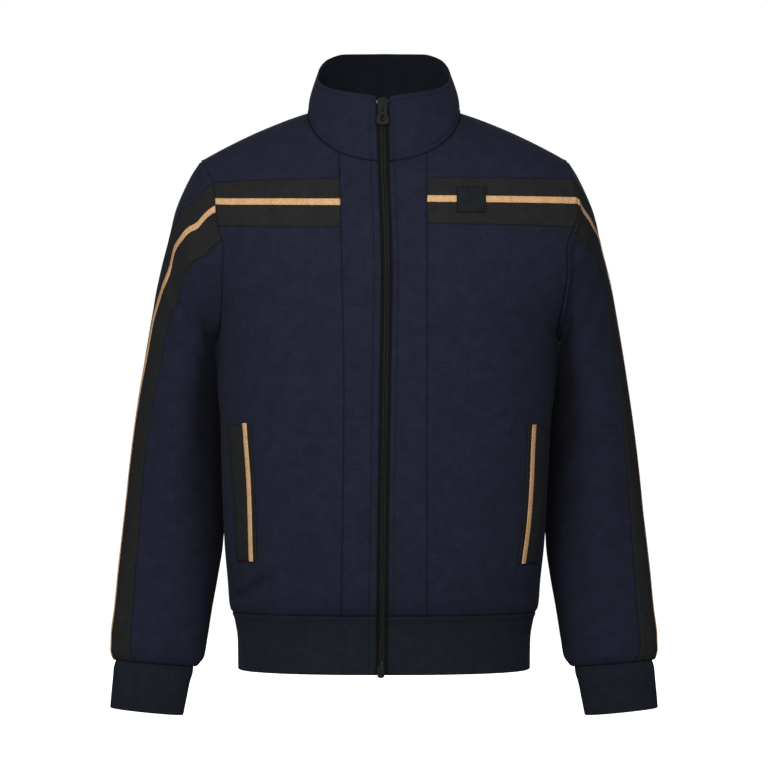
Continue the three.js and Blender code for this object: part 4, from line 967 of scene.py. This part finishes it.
def make_front(word, side):
    """One front from its side to its placket: the lower front, the chest band and the yoke above it."""
    band = CHEST_BAND[side]
    lower = front_grid(side, (WAIST_SEAM_Z, WAIST_SEAM_Z), band["low"], front_columns(side, LOWER_Z))
    sewn_piece(f"front_lower_{word}", lower, NAVY)
    across = front_grid(side, band["low"], band["high"], front_columns(side, CHEST_Z))
    sewn_piece(f"chest_band_{word}", across, BLACK)

    share = shares(230, GRID)
    start_degrees = math.degrees(math.asin(placket_top_x(side) / NECK_HALF))
    bottom = line_at(band["high"], share)
    yoke = crown_grid(side, FRONT, share, bottom, shares(90, GRID), start_degrees, YOKE_NECK_SHARE)
    sewn_piece(f"chest_yoke_{word}", yoke, NAVY)


def make_placket(word, side):
    """The straight panel beside the zip. Each of its columns ends on the neckline."""
    rows, across = shares(540, GRID), shares(43, 3)
    heights = []
    for share in across:
        x = mix(float(zip_edge_x(side, PLACKET_TOP_Z)), placket_top_x(side), share)
        top = float(neck_line(FRONT, math.degrees(math.asin(min(1, x / NECK_HALF))))[1])
        heights.append(mix(WAIST_SEAM_Z, top, rows))
    z = np.stack(heights, 1)
    x = mix(zip_edge_x(side, z), along(PLACKET_EDGE, WORD[side], z), across[None, :])
    at = body_point(side, FRONT, x, z)
    PIECES[f"placket_{word}"] = cloth_piece(
        f"cloth_placket_{word}", at, body_out(side, FRONT, at), CLOTH, NAVY, seams=("last", "low", "high"),
        folds=("first",), stitched={"first": TOPSTITCH[side]}, back=NAVY_BACK)


def back_half(side):
    share = shares(260, GRID)[3:]
    share[0] = 0
    beside_seam = WAIST_SEAM_Z + np.array(NEAR_EDGE[:-1])
    above = np.linspace(WAIST_SEAM_Z + NEAR_EDGE[-1], UNDERARM_Z, 80)
    z = np.concatenate([[WAIST_SEAM_Z], beside_seam, above])[:, None] + 0 * share[None, :]
    lower = body_point(side, BACK, half_width(side, z) * spread(share[None, :]), z)
    lower_out = body_out(side, BACK, lower)
    underarm = np.full(len(share), float(UNDERARM_Z))
    steps = shares(220, GRID)[3:]
    upper, upper_out = crown_grid(side, BACK, share, underarm, steps, AT_NAPE, BACK_NECK_SHARE)
    return np.concatenate([lower, upper[1:]]), np.concatenate([lower_out, upper_out[1:]])


def make_back():
    halves = [back_half(side) for side in (RIGHT, LEFT)]
    grid = [np.concatenate([right[:, ::-1], left[:, 1:]], 1) for right, left in zip(*halves)]
    sewn_piece("back", grid, NAVY)


def make_waistband():
    """The rib goes round from one zip edge to the other, in four quarters."""
    z = mix(HEM_Z, WAIST_SEAM_Z, shares(69, 4))
    near_zip = shares(270, 4.5)
    quarters = (
        (RIGHT, FRONT, near_zip),
        (RIGHT, BACK, np.linspace(1, 0, 60)),
        (LEFT, BACK, np.linspace(0, 1, 60)),
        (LEFT, FRONT, near_zip[::-1]),
    )
    parts = []
    for side, face, share in quarters:
        share = share[None, :]
        if face == FRONT:
            zip_edge = share_of(zip_edge_x(side, z) / half_width(side, z))[:, None]
            share = mix(zip_edge, 1, share)
        at = body_point(side, face, half_width(side, z)[:, None] * spread(share), z[:, None] + 0 * share)
        out = body_out(side, face, at)
        parts.append((at, out) if not parts else (at[:, 1:], out[:, 1:]))
    at, out = (np.concatenate(grids, 1) for grids in zip(*parts))
    PIECES["waistband"] = cloth_piece(
        "cloth_waistband", at, out, DOUBLE, RIB, seams=("high",), folds=("low", "first", "last"),
        stitched={"first": TOPSTITCH[RIGHT], "last": TOPSTITCH[LEFT]})


# ------------------------------------------------------------------ collar

NECK_POINTS = 60
NEAR_SHOULDER = (89, 92)  # the degrees between which one point stands for the shoulder line


def neck_start(side, z, half):
    return math.degrees(math.asin(float(zip_edge_x(side, z)) / half))


def neck_seam_half(side):
    start = neck_start(side, -NECK_DROP, NECK_HALF)
    front_x, front_z = neck_line(FRONT, np.linspace(start, NEAR_SHOULDER[0], NECK_POINTS))
    back_x, back_z = neck_line(BACK, np.linspace(NEAR_SHOULDER[1], AT_NAPE, NECK_POINTS))
    return np.concatenate([
        stack(side * front_x, -body_depth(side, FRONT, front_x, front_z), front_z),
        [[side * NECK_HALF, 0, shoulder_z(NECK_HALF)]],
        stack(side * back_x, body_depth(side, BACK, back_x, back_z), back_z),
    ])


def collar_edge_half(side):
    start = neck_start(side, COLLAR_HEIGHTS["top"][0], COLLAR_TOP["half"])
    degrees = np.linspace(start, AT_NAPE, NECK_POINTS * 2)
    angle = np.radians(degrees)
    depth = np.where(degrees < AT_SHOULDER, COLLAR_TOP["front"], COLLAR_TOP["back"])
    top = along(COLLAR_HEIGHTS, "top", degrees, "angle")
    return stack(side * COLLAR_TOP["half"] * np.sin(angle), -depth * np.cos(angle), top)


def all_round(half, share):
    """Points at shares of the length of a line round the neck, from the right zip edge to the left one."""
    line = np.concatenate([half(RIGHT), half(LEFT)[::-1][1:]])
    run = run_along(line, 0)
    return np.stack([np.interp(share * run[-1], run, line[:, i]) for i in range(3)], -1)


def collar_point(share, up):
    """A point of the collar: share from the right zip edge round to the left, up from seam to top edge."""
    seam, edge = all_round(neck_seam_half, share), all_round(collar_edge_half, share)
    point = mix(seam, edge, up[:, None, None])
    outward = unit(point * (1, 1, 0))
    return point + outward * (COLLAR_SWELL * np.sin(math.pi * up))[:, None, None]


# Soft upright waves of the collar: degrees round from the middle of the front, half width and height.
COLLAR_WAVES = table("turned width height", [
    (-38, 4, 1.3),
    (-30, 4, -1.3),
    (-19, 4, 0.6),
    (-56, 7, -1.2),
    (36, 5, -1),
    (27, 5, 0.6),
    (58, 8, 1.1),
    (-95, 10, -1),
    (100, 10, -1.1),
    (-140, 11, 1),
    (150, 12, 0.9),
])


def collar_waves(at, up):
    """Height of the waves at points of the collar. They fade out at its seam and at its top edge."""
    turned = np.degrees(np.arctan2(at[..., 0], -at[..., 1]))
    height = 0 * turned
    for degrees, width, raised in zip(*COLLAR_WAVES.values()):
        height = height + raised * np.exp(-((turned - degrees) / width) ** 2)
    return height * np.sin(math.pi * np.clip(up, 0, 1)) ** 0.7


def make_collar():
    share, up = shares(470, 3.5), shares(70, 3)
    at = collar_point(share, up)
    around = np.gradient(at, share, axis=1)
    upward = np.gradient(at, up, axis=0)
    out = unit(np.cross(around, upward))
    out = out * np.sign((out * at * (1, 1, 0)).sum(-1).mean())
    # The two top corners beside the zip are rounded.
    corner = COLLAR_TOP["corner"]
    distance = edge_distances(at)
    from_zip = np.minimum(distance["first"], distance["last"])
    round_in = np.clip(1 - from_zip / corner, 0, 1)
    at[..., 2] -= corner * (1 - np.sqrt(1 - round_in ** 2)) * smooth(up * 2 - 1)[:, None]
    stitched = {
        "first": TOPSTITCH[RIGHT],
        "last": TOPSTITCH[LEFT],
        "low": COLLAR_STITCH,
        "high": COLLAR_STITCH,
    }
    PIECES["collar"] = cloth_piece(
        "cloth_collar", at, out, DOUBLE, NAVY, seams=("low",), folds=("high", "first", "last"),
        stitched=stitched, back=NAVY_BACK, on=collar_waves(at, up[:, None]))


# ------------------------------------------------------------------ sleeves and cuffs

CUFF_TUCK, CUFF_TUCK_LENGTH = 2.4, 14.0  # the cuff draws in under the fullness of the sleeve
CUFF_HIDDEN = 3.5  # how far the cuff goes up inside it
CUFF_ROWS = 3
WHOLE_TURN = 1 - 1e-9  # just short of 1, which would be read as 0


def sleeve_rows():
    """Rows along a sleeve, closer beside its two seams."""
    near = np.array((0, 0.03, 0.08, 0.15, 0.25))
    last = SLEEVE_ROWS - np.array((0.35, 0.25, 0.17, 0.1, 0.04, 0))
    return np.concatenate([near, np.linspace(0.4, SLEEVE_ROWS - 0.5, 140), last])


def sleeve_grid(side, start, end, share):
    """A piece of sleeve between two lines, each given as turns row by row."""
    rows = sleeve_rows()
    turn = mix(start(rows)[:, None], end(rows)[:, None], share[None, :])
    row = rows[:, None] + 0 * turn
    at = sleeve_point(side, row, turn)
    out = ring_out(sleeve_point, side, row, turn)
    corner = mitre(side, turn[0])[None]
    return at, direction_near(edge_distances(at)["low"], out, corner)


def under_arm(rows):
    return 0 * rows


def once_round(rows):
    return 0 * rows + WHOLE_TURN


def make_sleeve(word, side):
    """The three long panels of a sleeve. Each is given with about its width and its count of columns."""
    before, behind = beside_stripe(side, -BAND_BEFORE), beside_stripe(side, BAND_BEHIND)
    panels = (
        ("front", NAVY, under_arm, before, 140, 34),
        ("band", BLACK, before, behind, 69, 20),
        ("back", NAVY, behind, once_round, 190, 50),
    )
    for part, finish, start, end, width, columns in panels:
        grid = sleeve_grid(side, start, end, shares(width, width / columns))
        sewn_piece(f"sleeve_{part}_{word}", grid, finish, on=0.0)


def cuff_point(side, row, turn):
    row = np.clip(row, 0, CUFF_ROWS)
    return ring_point(side, ring_at(CUFF, row, side), np.asarray(turn, float) % 1)


def make_cuff(word, side):
    row = CUFF_ROWS * shares(58, 3)[:, None]
    turn = np.linspace(0, 1, 121)[None, :-1]
    row, turn = row + 0 * turn, turn + 0 * row
    at = cuff_point(side, row, turn)
    out = ring_out(cuff_point, side, row, turn)
    hidden = at[:1] + stack(0, 0, CUFF_HIDDEN)
    at, out = np.concatenate([hidden, at]), np.concatenate([out[:1], out])
    tucked = -CUFF_TUCK * (1 - smooth(edge_distances(at)["low"] / CUFF_TUCK_LENGTH))
    PIECES[f"cuff_{word}"] = cloth_piece(
        f"cloth_cuff_{word}", at, out, DOUBLE, RIB, folds=("high",), closed=True, on=tucked)


# ------------------------------------------------------------------ stripes, welts and patch

BRAID_HEIGHT = 0.95  # a braid's face over the cloth that it lies on
WELT_HEIGHT = 1.5  # a welt's face over the front
WELT_BRAID_SUNK = 0.3  # how much lower a braid lies on its welt


def stripe_on_front(side, low, high):
    share = front_columns(side, CHEST_Z)
    z = mix(line_at(low, share), line_at(high, share), np.linspace(0, 1, 9)[:, None])
    at, out = front_point(side, share + 0 * z, z)
    turn = turn_at(FRONT, z[:, -1])
    at[:, -1] = armhole_point(side, turn)
    return at, direction_near(edge_distances(at)["last"], out, mitre(side, turn)[:, None])


def make_braids(word, side):
    """The braid across the chest and the braid down the sleeve."""
    at, out = stripe_on_front(side, *CHEST_BAND[side]["stripe"])
    PIECES[f"chest_stripe_{word}"] = cloth_piece(
        f"braid_chest_{word}", at, out, BRAID, TAN, seams=("first", "last"), folds=("low", "high"),
        height=BRAID_HEIGHT)
    start, end = (beside_stripe(side, way * STRIPE_WIDTH / 2) for way in (-1, 1))
    at, out = sleeve_grid(side, start, end, np.linspace(0, 1, 9))
    PIECES[f"sleeve_stripe_{word}"] = cloth_piece(
        f"braid_sleeve_{word}", at, out, BRAID, TAN, seams=("low", "high"), folds=("first", "last"),
        height=BRAID_HEIGHT, on=0.0)


def pocket_grid(side, rows, across, x_at):
    """Part of a pocket's welt. x_at gives x from the welt's inner and outer edge and a share across."""
    pocket = POCKET[side]
    z = mix(pocket["bottom"], pocket["top"], rows[:, None]) + 0 * across[None, :]
    bulge, lift = POCKET_BULGE[side]
    bow = bulge * np.sin(math.pi * rows[:, None] ** lift) ** 1.5
    inner = mix(pocket["inner"][1], pocket["inner"][0], rows[:, None]) + bow
    outer = mix(pocket["outer"][1], pocket["outer"][0], rows[:, None]) + bow
    at = body_point(side, FRONT, x_at(inner, outer, across[None, :]), z)
    return at, body_out(side, FRONT, at)


def on_pocket_stripe(inner, outer, share):
    """The braid keeps its width and its distance from the welt's inner edge."""
    return inner + POCKET_STRIPE["offset"] + POCKET_STRIPE["width"] * share


def make_pocket(word, side):
    rows = shares(164, 3)
    at, out = pocket_grid(side, rows, shares(30, 2.5), mix)
    PIECES[f"pocket_welt_{word}"] = cloth_piece(
        f"cloth_welt_{word}", at, out, CLOTH, BLACK, folds=SEWN_ALL_ROUND, height=WELT_HEIGHT)
    at, out = pocket_grid(side, rows, np.linspace(0, 1, 7), on_pocket_stripe)
    PIECES[f"pocket_stripe_{word}"] = cloth_piece(
        f"braid_pocket_{word}", at, out, BRAID, TAN, folds=SEWN_ALL_ROUND,
        height=WELT_HEIGHT + BRAID_HEIGHT - WELT_BRAID_SUNK)


def make_patch():
    near_edge = (0.3, 0.8, 1.4)
    z = mix(PATCH["bottom"], PATCH["top"], shares(31, 1.5, near_edge))[:, None]
    x = mix(PATCH["inner"], PATCH["outer"], shares(35, 1.5, near_edge))[None, :]
    at = body_point(LEFT, FRONT, x + 0 * z, z + 0 * x)
    PIECES["chest_patch"] = cloth_piece(
        "woven_chest_patch", at, body_out(LEFT, FRONT, at), BRAID, LABEL, folds=SEWN_ALL_ROUND,
        height=BRAID_HEIGHT + BRAID)


# ------------------------------------------------------------------ zip


def zip_point(z):
    """The zip's middle line: on the front up to the neck seam, then up the collar's front edges."""
    z = np.asarray(z, float)
    low, high = collar_point(np.array([0.0]), np.array([0.0, 1.0]))[:, 0]
    up = (z - low[2]) / (high[2] - low[2])
    on_collar = mix(low[1], high[1], up) - COLLAR_SWELL * np.sin(math.pi * np.clip(up, 0, 1))
    on_body = -body_depth(RIGHT, FRONT, 0 * z, z)
    return stack(along(ZIP_LINE, "x", z), np.where(z <= -NECK_DROP, on_body, on_collar), z)


def zip_out(z):
    up = zip_point(z + 1) - zip_point(z - 1)
    return unit(stack(0 * z, -up[..., 2], up[..., 1]))


TAPE_CLOTH, TAPE_DEPTH = 1.2, 0.7  # the tape's thickness, and how far below the cloth's face it lies
TAPE_INNER, TAPE_UNDER = 0.12, 1.2  # from the zip's middle, and on under the placket's fold
TAPE_FOOT, TAPE_TOP_Z = 0.1, 12  # how far above the hem it starts, and where it ends


def make_tape(word, side):
    on_front = np.linspace(HEM_Z + TAPE_FOOT, -NECK_DROP, 200)
    z = np.concatenate([on_front, np.linspace(PLACKET_TOP_Z, TAPE_TOP_Z, 24)])
    across = np.linspace(TAPE_INNER, ZIP_OPENING + TAPE_UNDER, 9) * side
    if side == RIGHT:
        across = across[::-1]
    at = zip_point(z)[:, None] + stack(across, 0 * across, 0 * across)[None]
    out = np.repeat(zip_out(z)[:, None], len(across), 1)
    PIECES[f"zip_tape_{word}"] = cloth_piece(
        f"zip_tape_woven_{word}", at, out, TAPE_CLOTH, TAPE, height=-TAPE_DEPTH, on=body_creases(at))


COIL = {
    "pitch": 1.3,
    "reach": 2.95,  # from the zip's middle to the coil's outer side
    "past": -0.1,  # how far its inner side goes past the zip's middle
    "depth": 1.15,  # how far below the cloth's face its own middle lies
    "half": 0.95,  # half its height
    "wire": 0.32,
    "turn_points": 10,
    "sides": 6,
}
CHAIN_LOW, CHAIN_HIGH = -652.7, 9


def tube(path, normal, radius, sides):
    """Rings of points along a path, and the faces between them."""
    forward = unit(np.gradient(path, axis=0))
    right = unit(np.cross(forward, normal))
    up = np.cross(right, forward)
    angle = np.linspace(0, 2 * math.pi, sides, endpoint=False)[None, :, None]
    ring = np.cos(angle) * right[:, None] + np.sin(angle) * up[:, None]
    points = (path[:, None] + ring * radius).reshape(-1, 3)
    first = np.arange(sides)
    following = (first + 1) % sides
    base = np.arange(len(path) - 1)[:, None] * sides
    quads = (base + first, base + following, base + sides + following, base + sides + first)
    return points, np.stack(quads, -1).reshape(-1, 4)


def joined(tubes):
    """One set of points and faces from several."""
    points, faces, count = [], [], 0
    for made, quads in tubes:
        points.append(made)
        faces.append(quads + count)
        count += len(made)
    return np.concatenate(points), np.concatenate(faces)


def coil(side):
    """One side of the chain: a wire wound flat along the tape's edge. The sides are half a turn apart."""
    turns = (CHAIN_HIGH - CHAIN_LOW) / COIL["pitch"]
    phase = np.linspace(0, turns, round(turns * COIL["turn_points"]))
    angle = phase * 2 * math.pi + (0 if side == RIGHT else math.pi)
    z = CHAIN_LOW + phase * COIL["pitch"]
    centre = zip_point(z)
    half = (COIL["reach"] + COIL["past"]) / 2
    x = side * (COIL["reach"] - half + half * np.cos(angle))
    depth = -COIL["depth"] + COIL["half"] * np.sin(angle)
    path = centre + stack(x, 0 * x, 0 * x) + zip_out(z) * (depth + body_creases(centre))[:, None]
    return tube(path, stack(0 * x, 0 * x, 1 + 0 * x), COIL["wire"], COIL["sides"])


def make_chain():
    points, faces = joined([coil(side) for side in (RIGHT, LEFT)])
    PIECES["zip_chain"] = mesh_piece("zip_coil", points, faces, [COIL_NYLON])


# The solids that are seen as they are: each one's finish, and how far its edges are rounded.
SOLIDS = {
    "zip_slider": (ENAMEL, 0.3),
    "zip_pull_tab": (ENAMEL, 0.35),
    "zip_bottom_stop": (ENAMEL, 0.4),
    "zip_top_stop_right": (NICKEL, 0.4),
    "zip_top_stop_left": (ENAMEL, 0.4),
}
SHARP = math.radians(35)


def finish_solids():
    for node, (finish, bevel) in SOLIDS.items():
        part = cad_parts[node]
        part.data.materials.clear()
        part.data.materials.append(finish)
        edge = part.modifiers.new("worn edge", "BEVEL")
        edge.width = bevel * MM
        edge.segments = 3
        edge.limit_method = "ANGLE"
        edge.angle_limit = SHARP


# ------------------------------------------------------------------ stitching

STITCH, STITCH_GAP = 3.0, 0.6
THREAD_HALF, THREAD_SIDES = 0.2, 5
# A stitch's five points: how far along it each is, and how high over the line of sewing.
STITCH_BEND, STITCH_LIFT = np.array((0, 0.2, 0.5, 0.8, 1)), np.array((-0.25, 0.12, 0.2, 0.12, -0.25))


def stitches(line, out):
    """Stitches along a line on the cloth: each dives in at its ends."""
    run = run_along(line, 0)
    count = int(run[-1] // (STITCH + STITCH_GAP))
    start = np.arange(count)[:, None] * (STITCH + STITCH_GAP)
    where = start + STITCH_BEND[None, :] * STITCH

    def read(values):
        return np.stack([np.interp(where, run, values[:, i]) for i in range(3)], -1)

    ways = unit(read(out))
    return read(line) + ways * STITCH_LIFT[None, :, None], ways


def stitching(name, lines):
    """One piece of sewing from lines of points, each with the way out of the cloth."""
    made = []
    for line, out in lines:
        for path, way in zip(*stitches(line, out)):
            made.append(tube(path, way, THREAD_HALF, THREAD_SIDES))
    points, faces = joined(made)
    return mesh_piece(name, points, faces, [THREAD_WITH_PAINTED_SHADE])


def on_body(side, x, z, height):
    """A line of sewing on the front."""
    at = body_point(side, FRONT, x, z)
    out = body_out(side, FRONT, at)
    return at + out * (body_creases(at) + height)[..., None], out


def on_welt(at, out):
    """A line of sewing on a pocket's welt."""
    return at + out * (body_creases(at) + WELT_HEIGHT)[:, None], out


def sew_body():
    """Topstitching beside the zip, up the plackets and up the waistband below them."""
    lines = []
    for side in (RIGHT, LEFT):
        for low, high, points in ((WAIST_SEAM_Z + 2, -62, 400), (HEM_Z + 1, WAIST_SEAM_Z - 2, 60)):
            z = np.linspace(low, high, points)
            lines.append(on_body(side, zip_edge_x(side, z) + TOPSTITCH[side], z, -GROOVE["depth"]))
    return stitching("stitching_body", lines)


def sew_collar():
    """Topstitching round the collar, above its seam and below its top edge."""
    share = np.linspace(0.004, 0.996, 700)
    seam, edge = collar_point(share, np.array([0.0, 1.0]))
    inset = COLLAR_STITCH / length_of(edge - seam)
    lines = []
    for level in (inset, 1 - inset):
        point = seam + (edge - seam) * level[:, None]
        outward = unit(point * (1, 1, 0))
        point = point + outward * (COLLAR_SWELL * np.sin(math.pi * level))[:, None]
        way = unit(np.cross(np.gradient(point, axis=0), edge - seam))
        way = way * np.sign((way * outward).sum(-1).mean())
        height = collar_waves(point, level) - GROOVE["depth"]
        lines.append((point + way * height[:, None], way))
    return stitching("stitching_collar", lines)


def sew_pockets():
    """Topstitching just inside the edges of the welts."""
    low, high = 0.012, 0.988
    lines = []
    for side in (RIGHT, LEFT):
        for share in (0.06, 0.94):
            at, out = pocket_grid(side, np.linspace(low, high, 80), np.array([share]), mix)
            lines.append(on_welt(at[:, 0], out[:, 0]))
        for level in (low, high):
            at, out = pocket_grid(side, np.array([level]), np.linspace(0.08, 0.92, 30), mix)
            lines.append(on_welt(at[0], out[0]))
    return stitching("stitching_pockets", lines)


def sew_patch():
    inset = 1.6
    x_near, x_far = PATCH["inner"] + inset, PATCH["outer"] - inset
    z_low, z_high = PATCH["bottom"] + inset, PATCH["top"] - inset
    corners = [(x_near, z_low), (x_far, z_low), (x_far, z_high), (x_near, z_high), (x_near, z_low)]
    lines = []
    for (x_from, z_from), (x_to, z_to) in zip(corners, corners[1:]):
        x, z = np.linspace(x_from, x_to, 12), np.linspace(z_from, z_to, 12)
        lines.append(on_body(LEFT, x, z, BRAID_HEIGHT + BRAID))
    return stitching("stitching_patch", lines)


# ------------------------------------------------------------------ every piece

for word, side in SIDES:
    make_front(word, side)
    make_placket(word, side)
make_back()
make_waistband()
make_collar()
for word, side in SIDES:
    make_sleeve(word, side)
    make_cuff(word, side)
for word, side in SIDES:
    make_braids(word, side)
for word, side in SIDES:
    make_pocket(word, side)
make_patch()
for word, side in SIDES:
    make_tape(word, side)
make_chain()
finish_solids()
PIECES_OF_SEWING = [sew_body(), sew_collar(), sew_pockets(), sew_patch()]

# ------------------------------------------------------------------ stage

FLOOR_Z, FLOOR_REACH = -0.8, 60
CAMERA_AWAY = 5.0
CAMERA_Z = -0.323
VIEW_WIDTH = 0.9216
SENSOR = 36
ROOM_LIGHT = 0.1  # how much of the white room's light falls on the cloth
COLLAR_FRONT, MIDDLE = (0, -0.07, 0.02), (0, -0.07, -0.35)
# Each light's place, size and power, and what it points at.
LIGHTS = {
    "softbox_front": ((-0.12, -1.9, 0.24), (1.2, 0.7), 28.5, COLLAR_FRONT),
    "softbox_right": ((-2.6, -0.9, 0.6), (1.0, 2.0), 9, MIDDLE),
    "softbox_left": ((2.6, -0.9, 0.6), (1.0, 2.0), 2.5, MIDDLE),
    "softbox_back": ((0, 2.6, 0.3), (2.4, 1.2), 26, MIDDLE),
}


def make_floor():
    mesh = bpy.data.meshes.new("floor")
    ways = ((-1, -1), (1, -1), (1, 1), (-1, 1))
    corners = [(x * FLOOR_REACH, y * FLOOR_REACH, FLOOR_Z) for x, y in ways]
    mesh.from_pydata(corners, [], [(0, 1, 2, 3)])
    floor = bpy.data.objects.new("floor", mesh)
    bpy.context.scene.collection.objects.link(floor)
    material, tree, output = new_material("pale studio floor")
    finish_with(tree, output, {
        "Base Color": (1, 1, 1, 1),
        "Roughness": 0.9,
        "Emission Color": (1, 1, 1, 1),
        "Emission Strength": 1.0,
    })
    mesh.materials.append(material)
    # Its own glow lights only the ground in the view, not the garment.
    floor.visible_diffuse = False
    floor.visible_glossy = False


def add_light(name, place, size, power, target):
    data = bpy.data.lights.new(name, "AREA")
    data.shape = "RECTANGLE"
    data.size, data.size_y = size
    data.energy = power
    light = bpy.data.objects.new(name, data)
    light.location = place
    light.rotation_euler = (Vector(target) - Vector(place)).to_track_quat("-Z", "Y").to_euler()
    bpy.context.scene.collection.objects.link(light)


def make_camera():
    data = bpy.data.cameras.new("camera")
    data.sensor_width = SENSOR
    data.lens = SENSOR * CAMERA_AWAY / VIEW_WIDTH
    camera = bpy.data.objects.new("camera", data)
    camera.location = (0, -CAMERA_AWAY - NAPE_Y * MM, CAMERA_Z)
    camera.rotation_euler = (math.pi / 2, 0, 0)
    bpy.context.scene.collection.objects.link(camera)
    bpy.context.scene.camera = camera


def make_room():
    """A white room: full white behind the garment, and a softer light from it on the cloth."""
    world = bpy.data.worlds.new("studio")
    world.use_nodes = True
    tree = world.node_tree
    seen = add_node(tree, "LightPath").outputs["Is Camera Ray"]
    strength = add_node(tree, "MapRange", {"Value": seen, "To Min": ROOM_LIGHT, "To Max": 1.0})
    wall = tree.nodes["Background"]
    wall.inputs["Color"].default_value = (1, 1, 1, 1)
    tree.links.new(strength.outputs["Result"], wall.inputs["Strength"])
    bpy.context.scene.world = world


make_floor()
make_room()
for name, (place, size, power, target) in LIGHTS.items():
    add_light(name, place, size, power, target)
bpy.context.scene.view_settings.view_transform = "Standard"
make_camera()

# ------------------------------------------------------------------ how the pieces stand for the solids

for node, piece in PIECES.items():
    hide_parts(node)
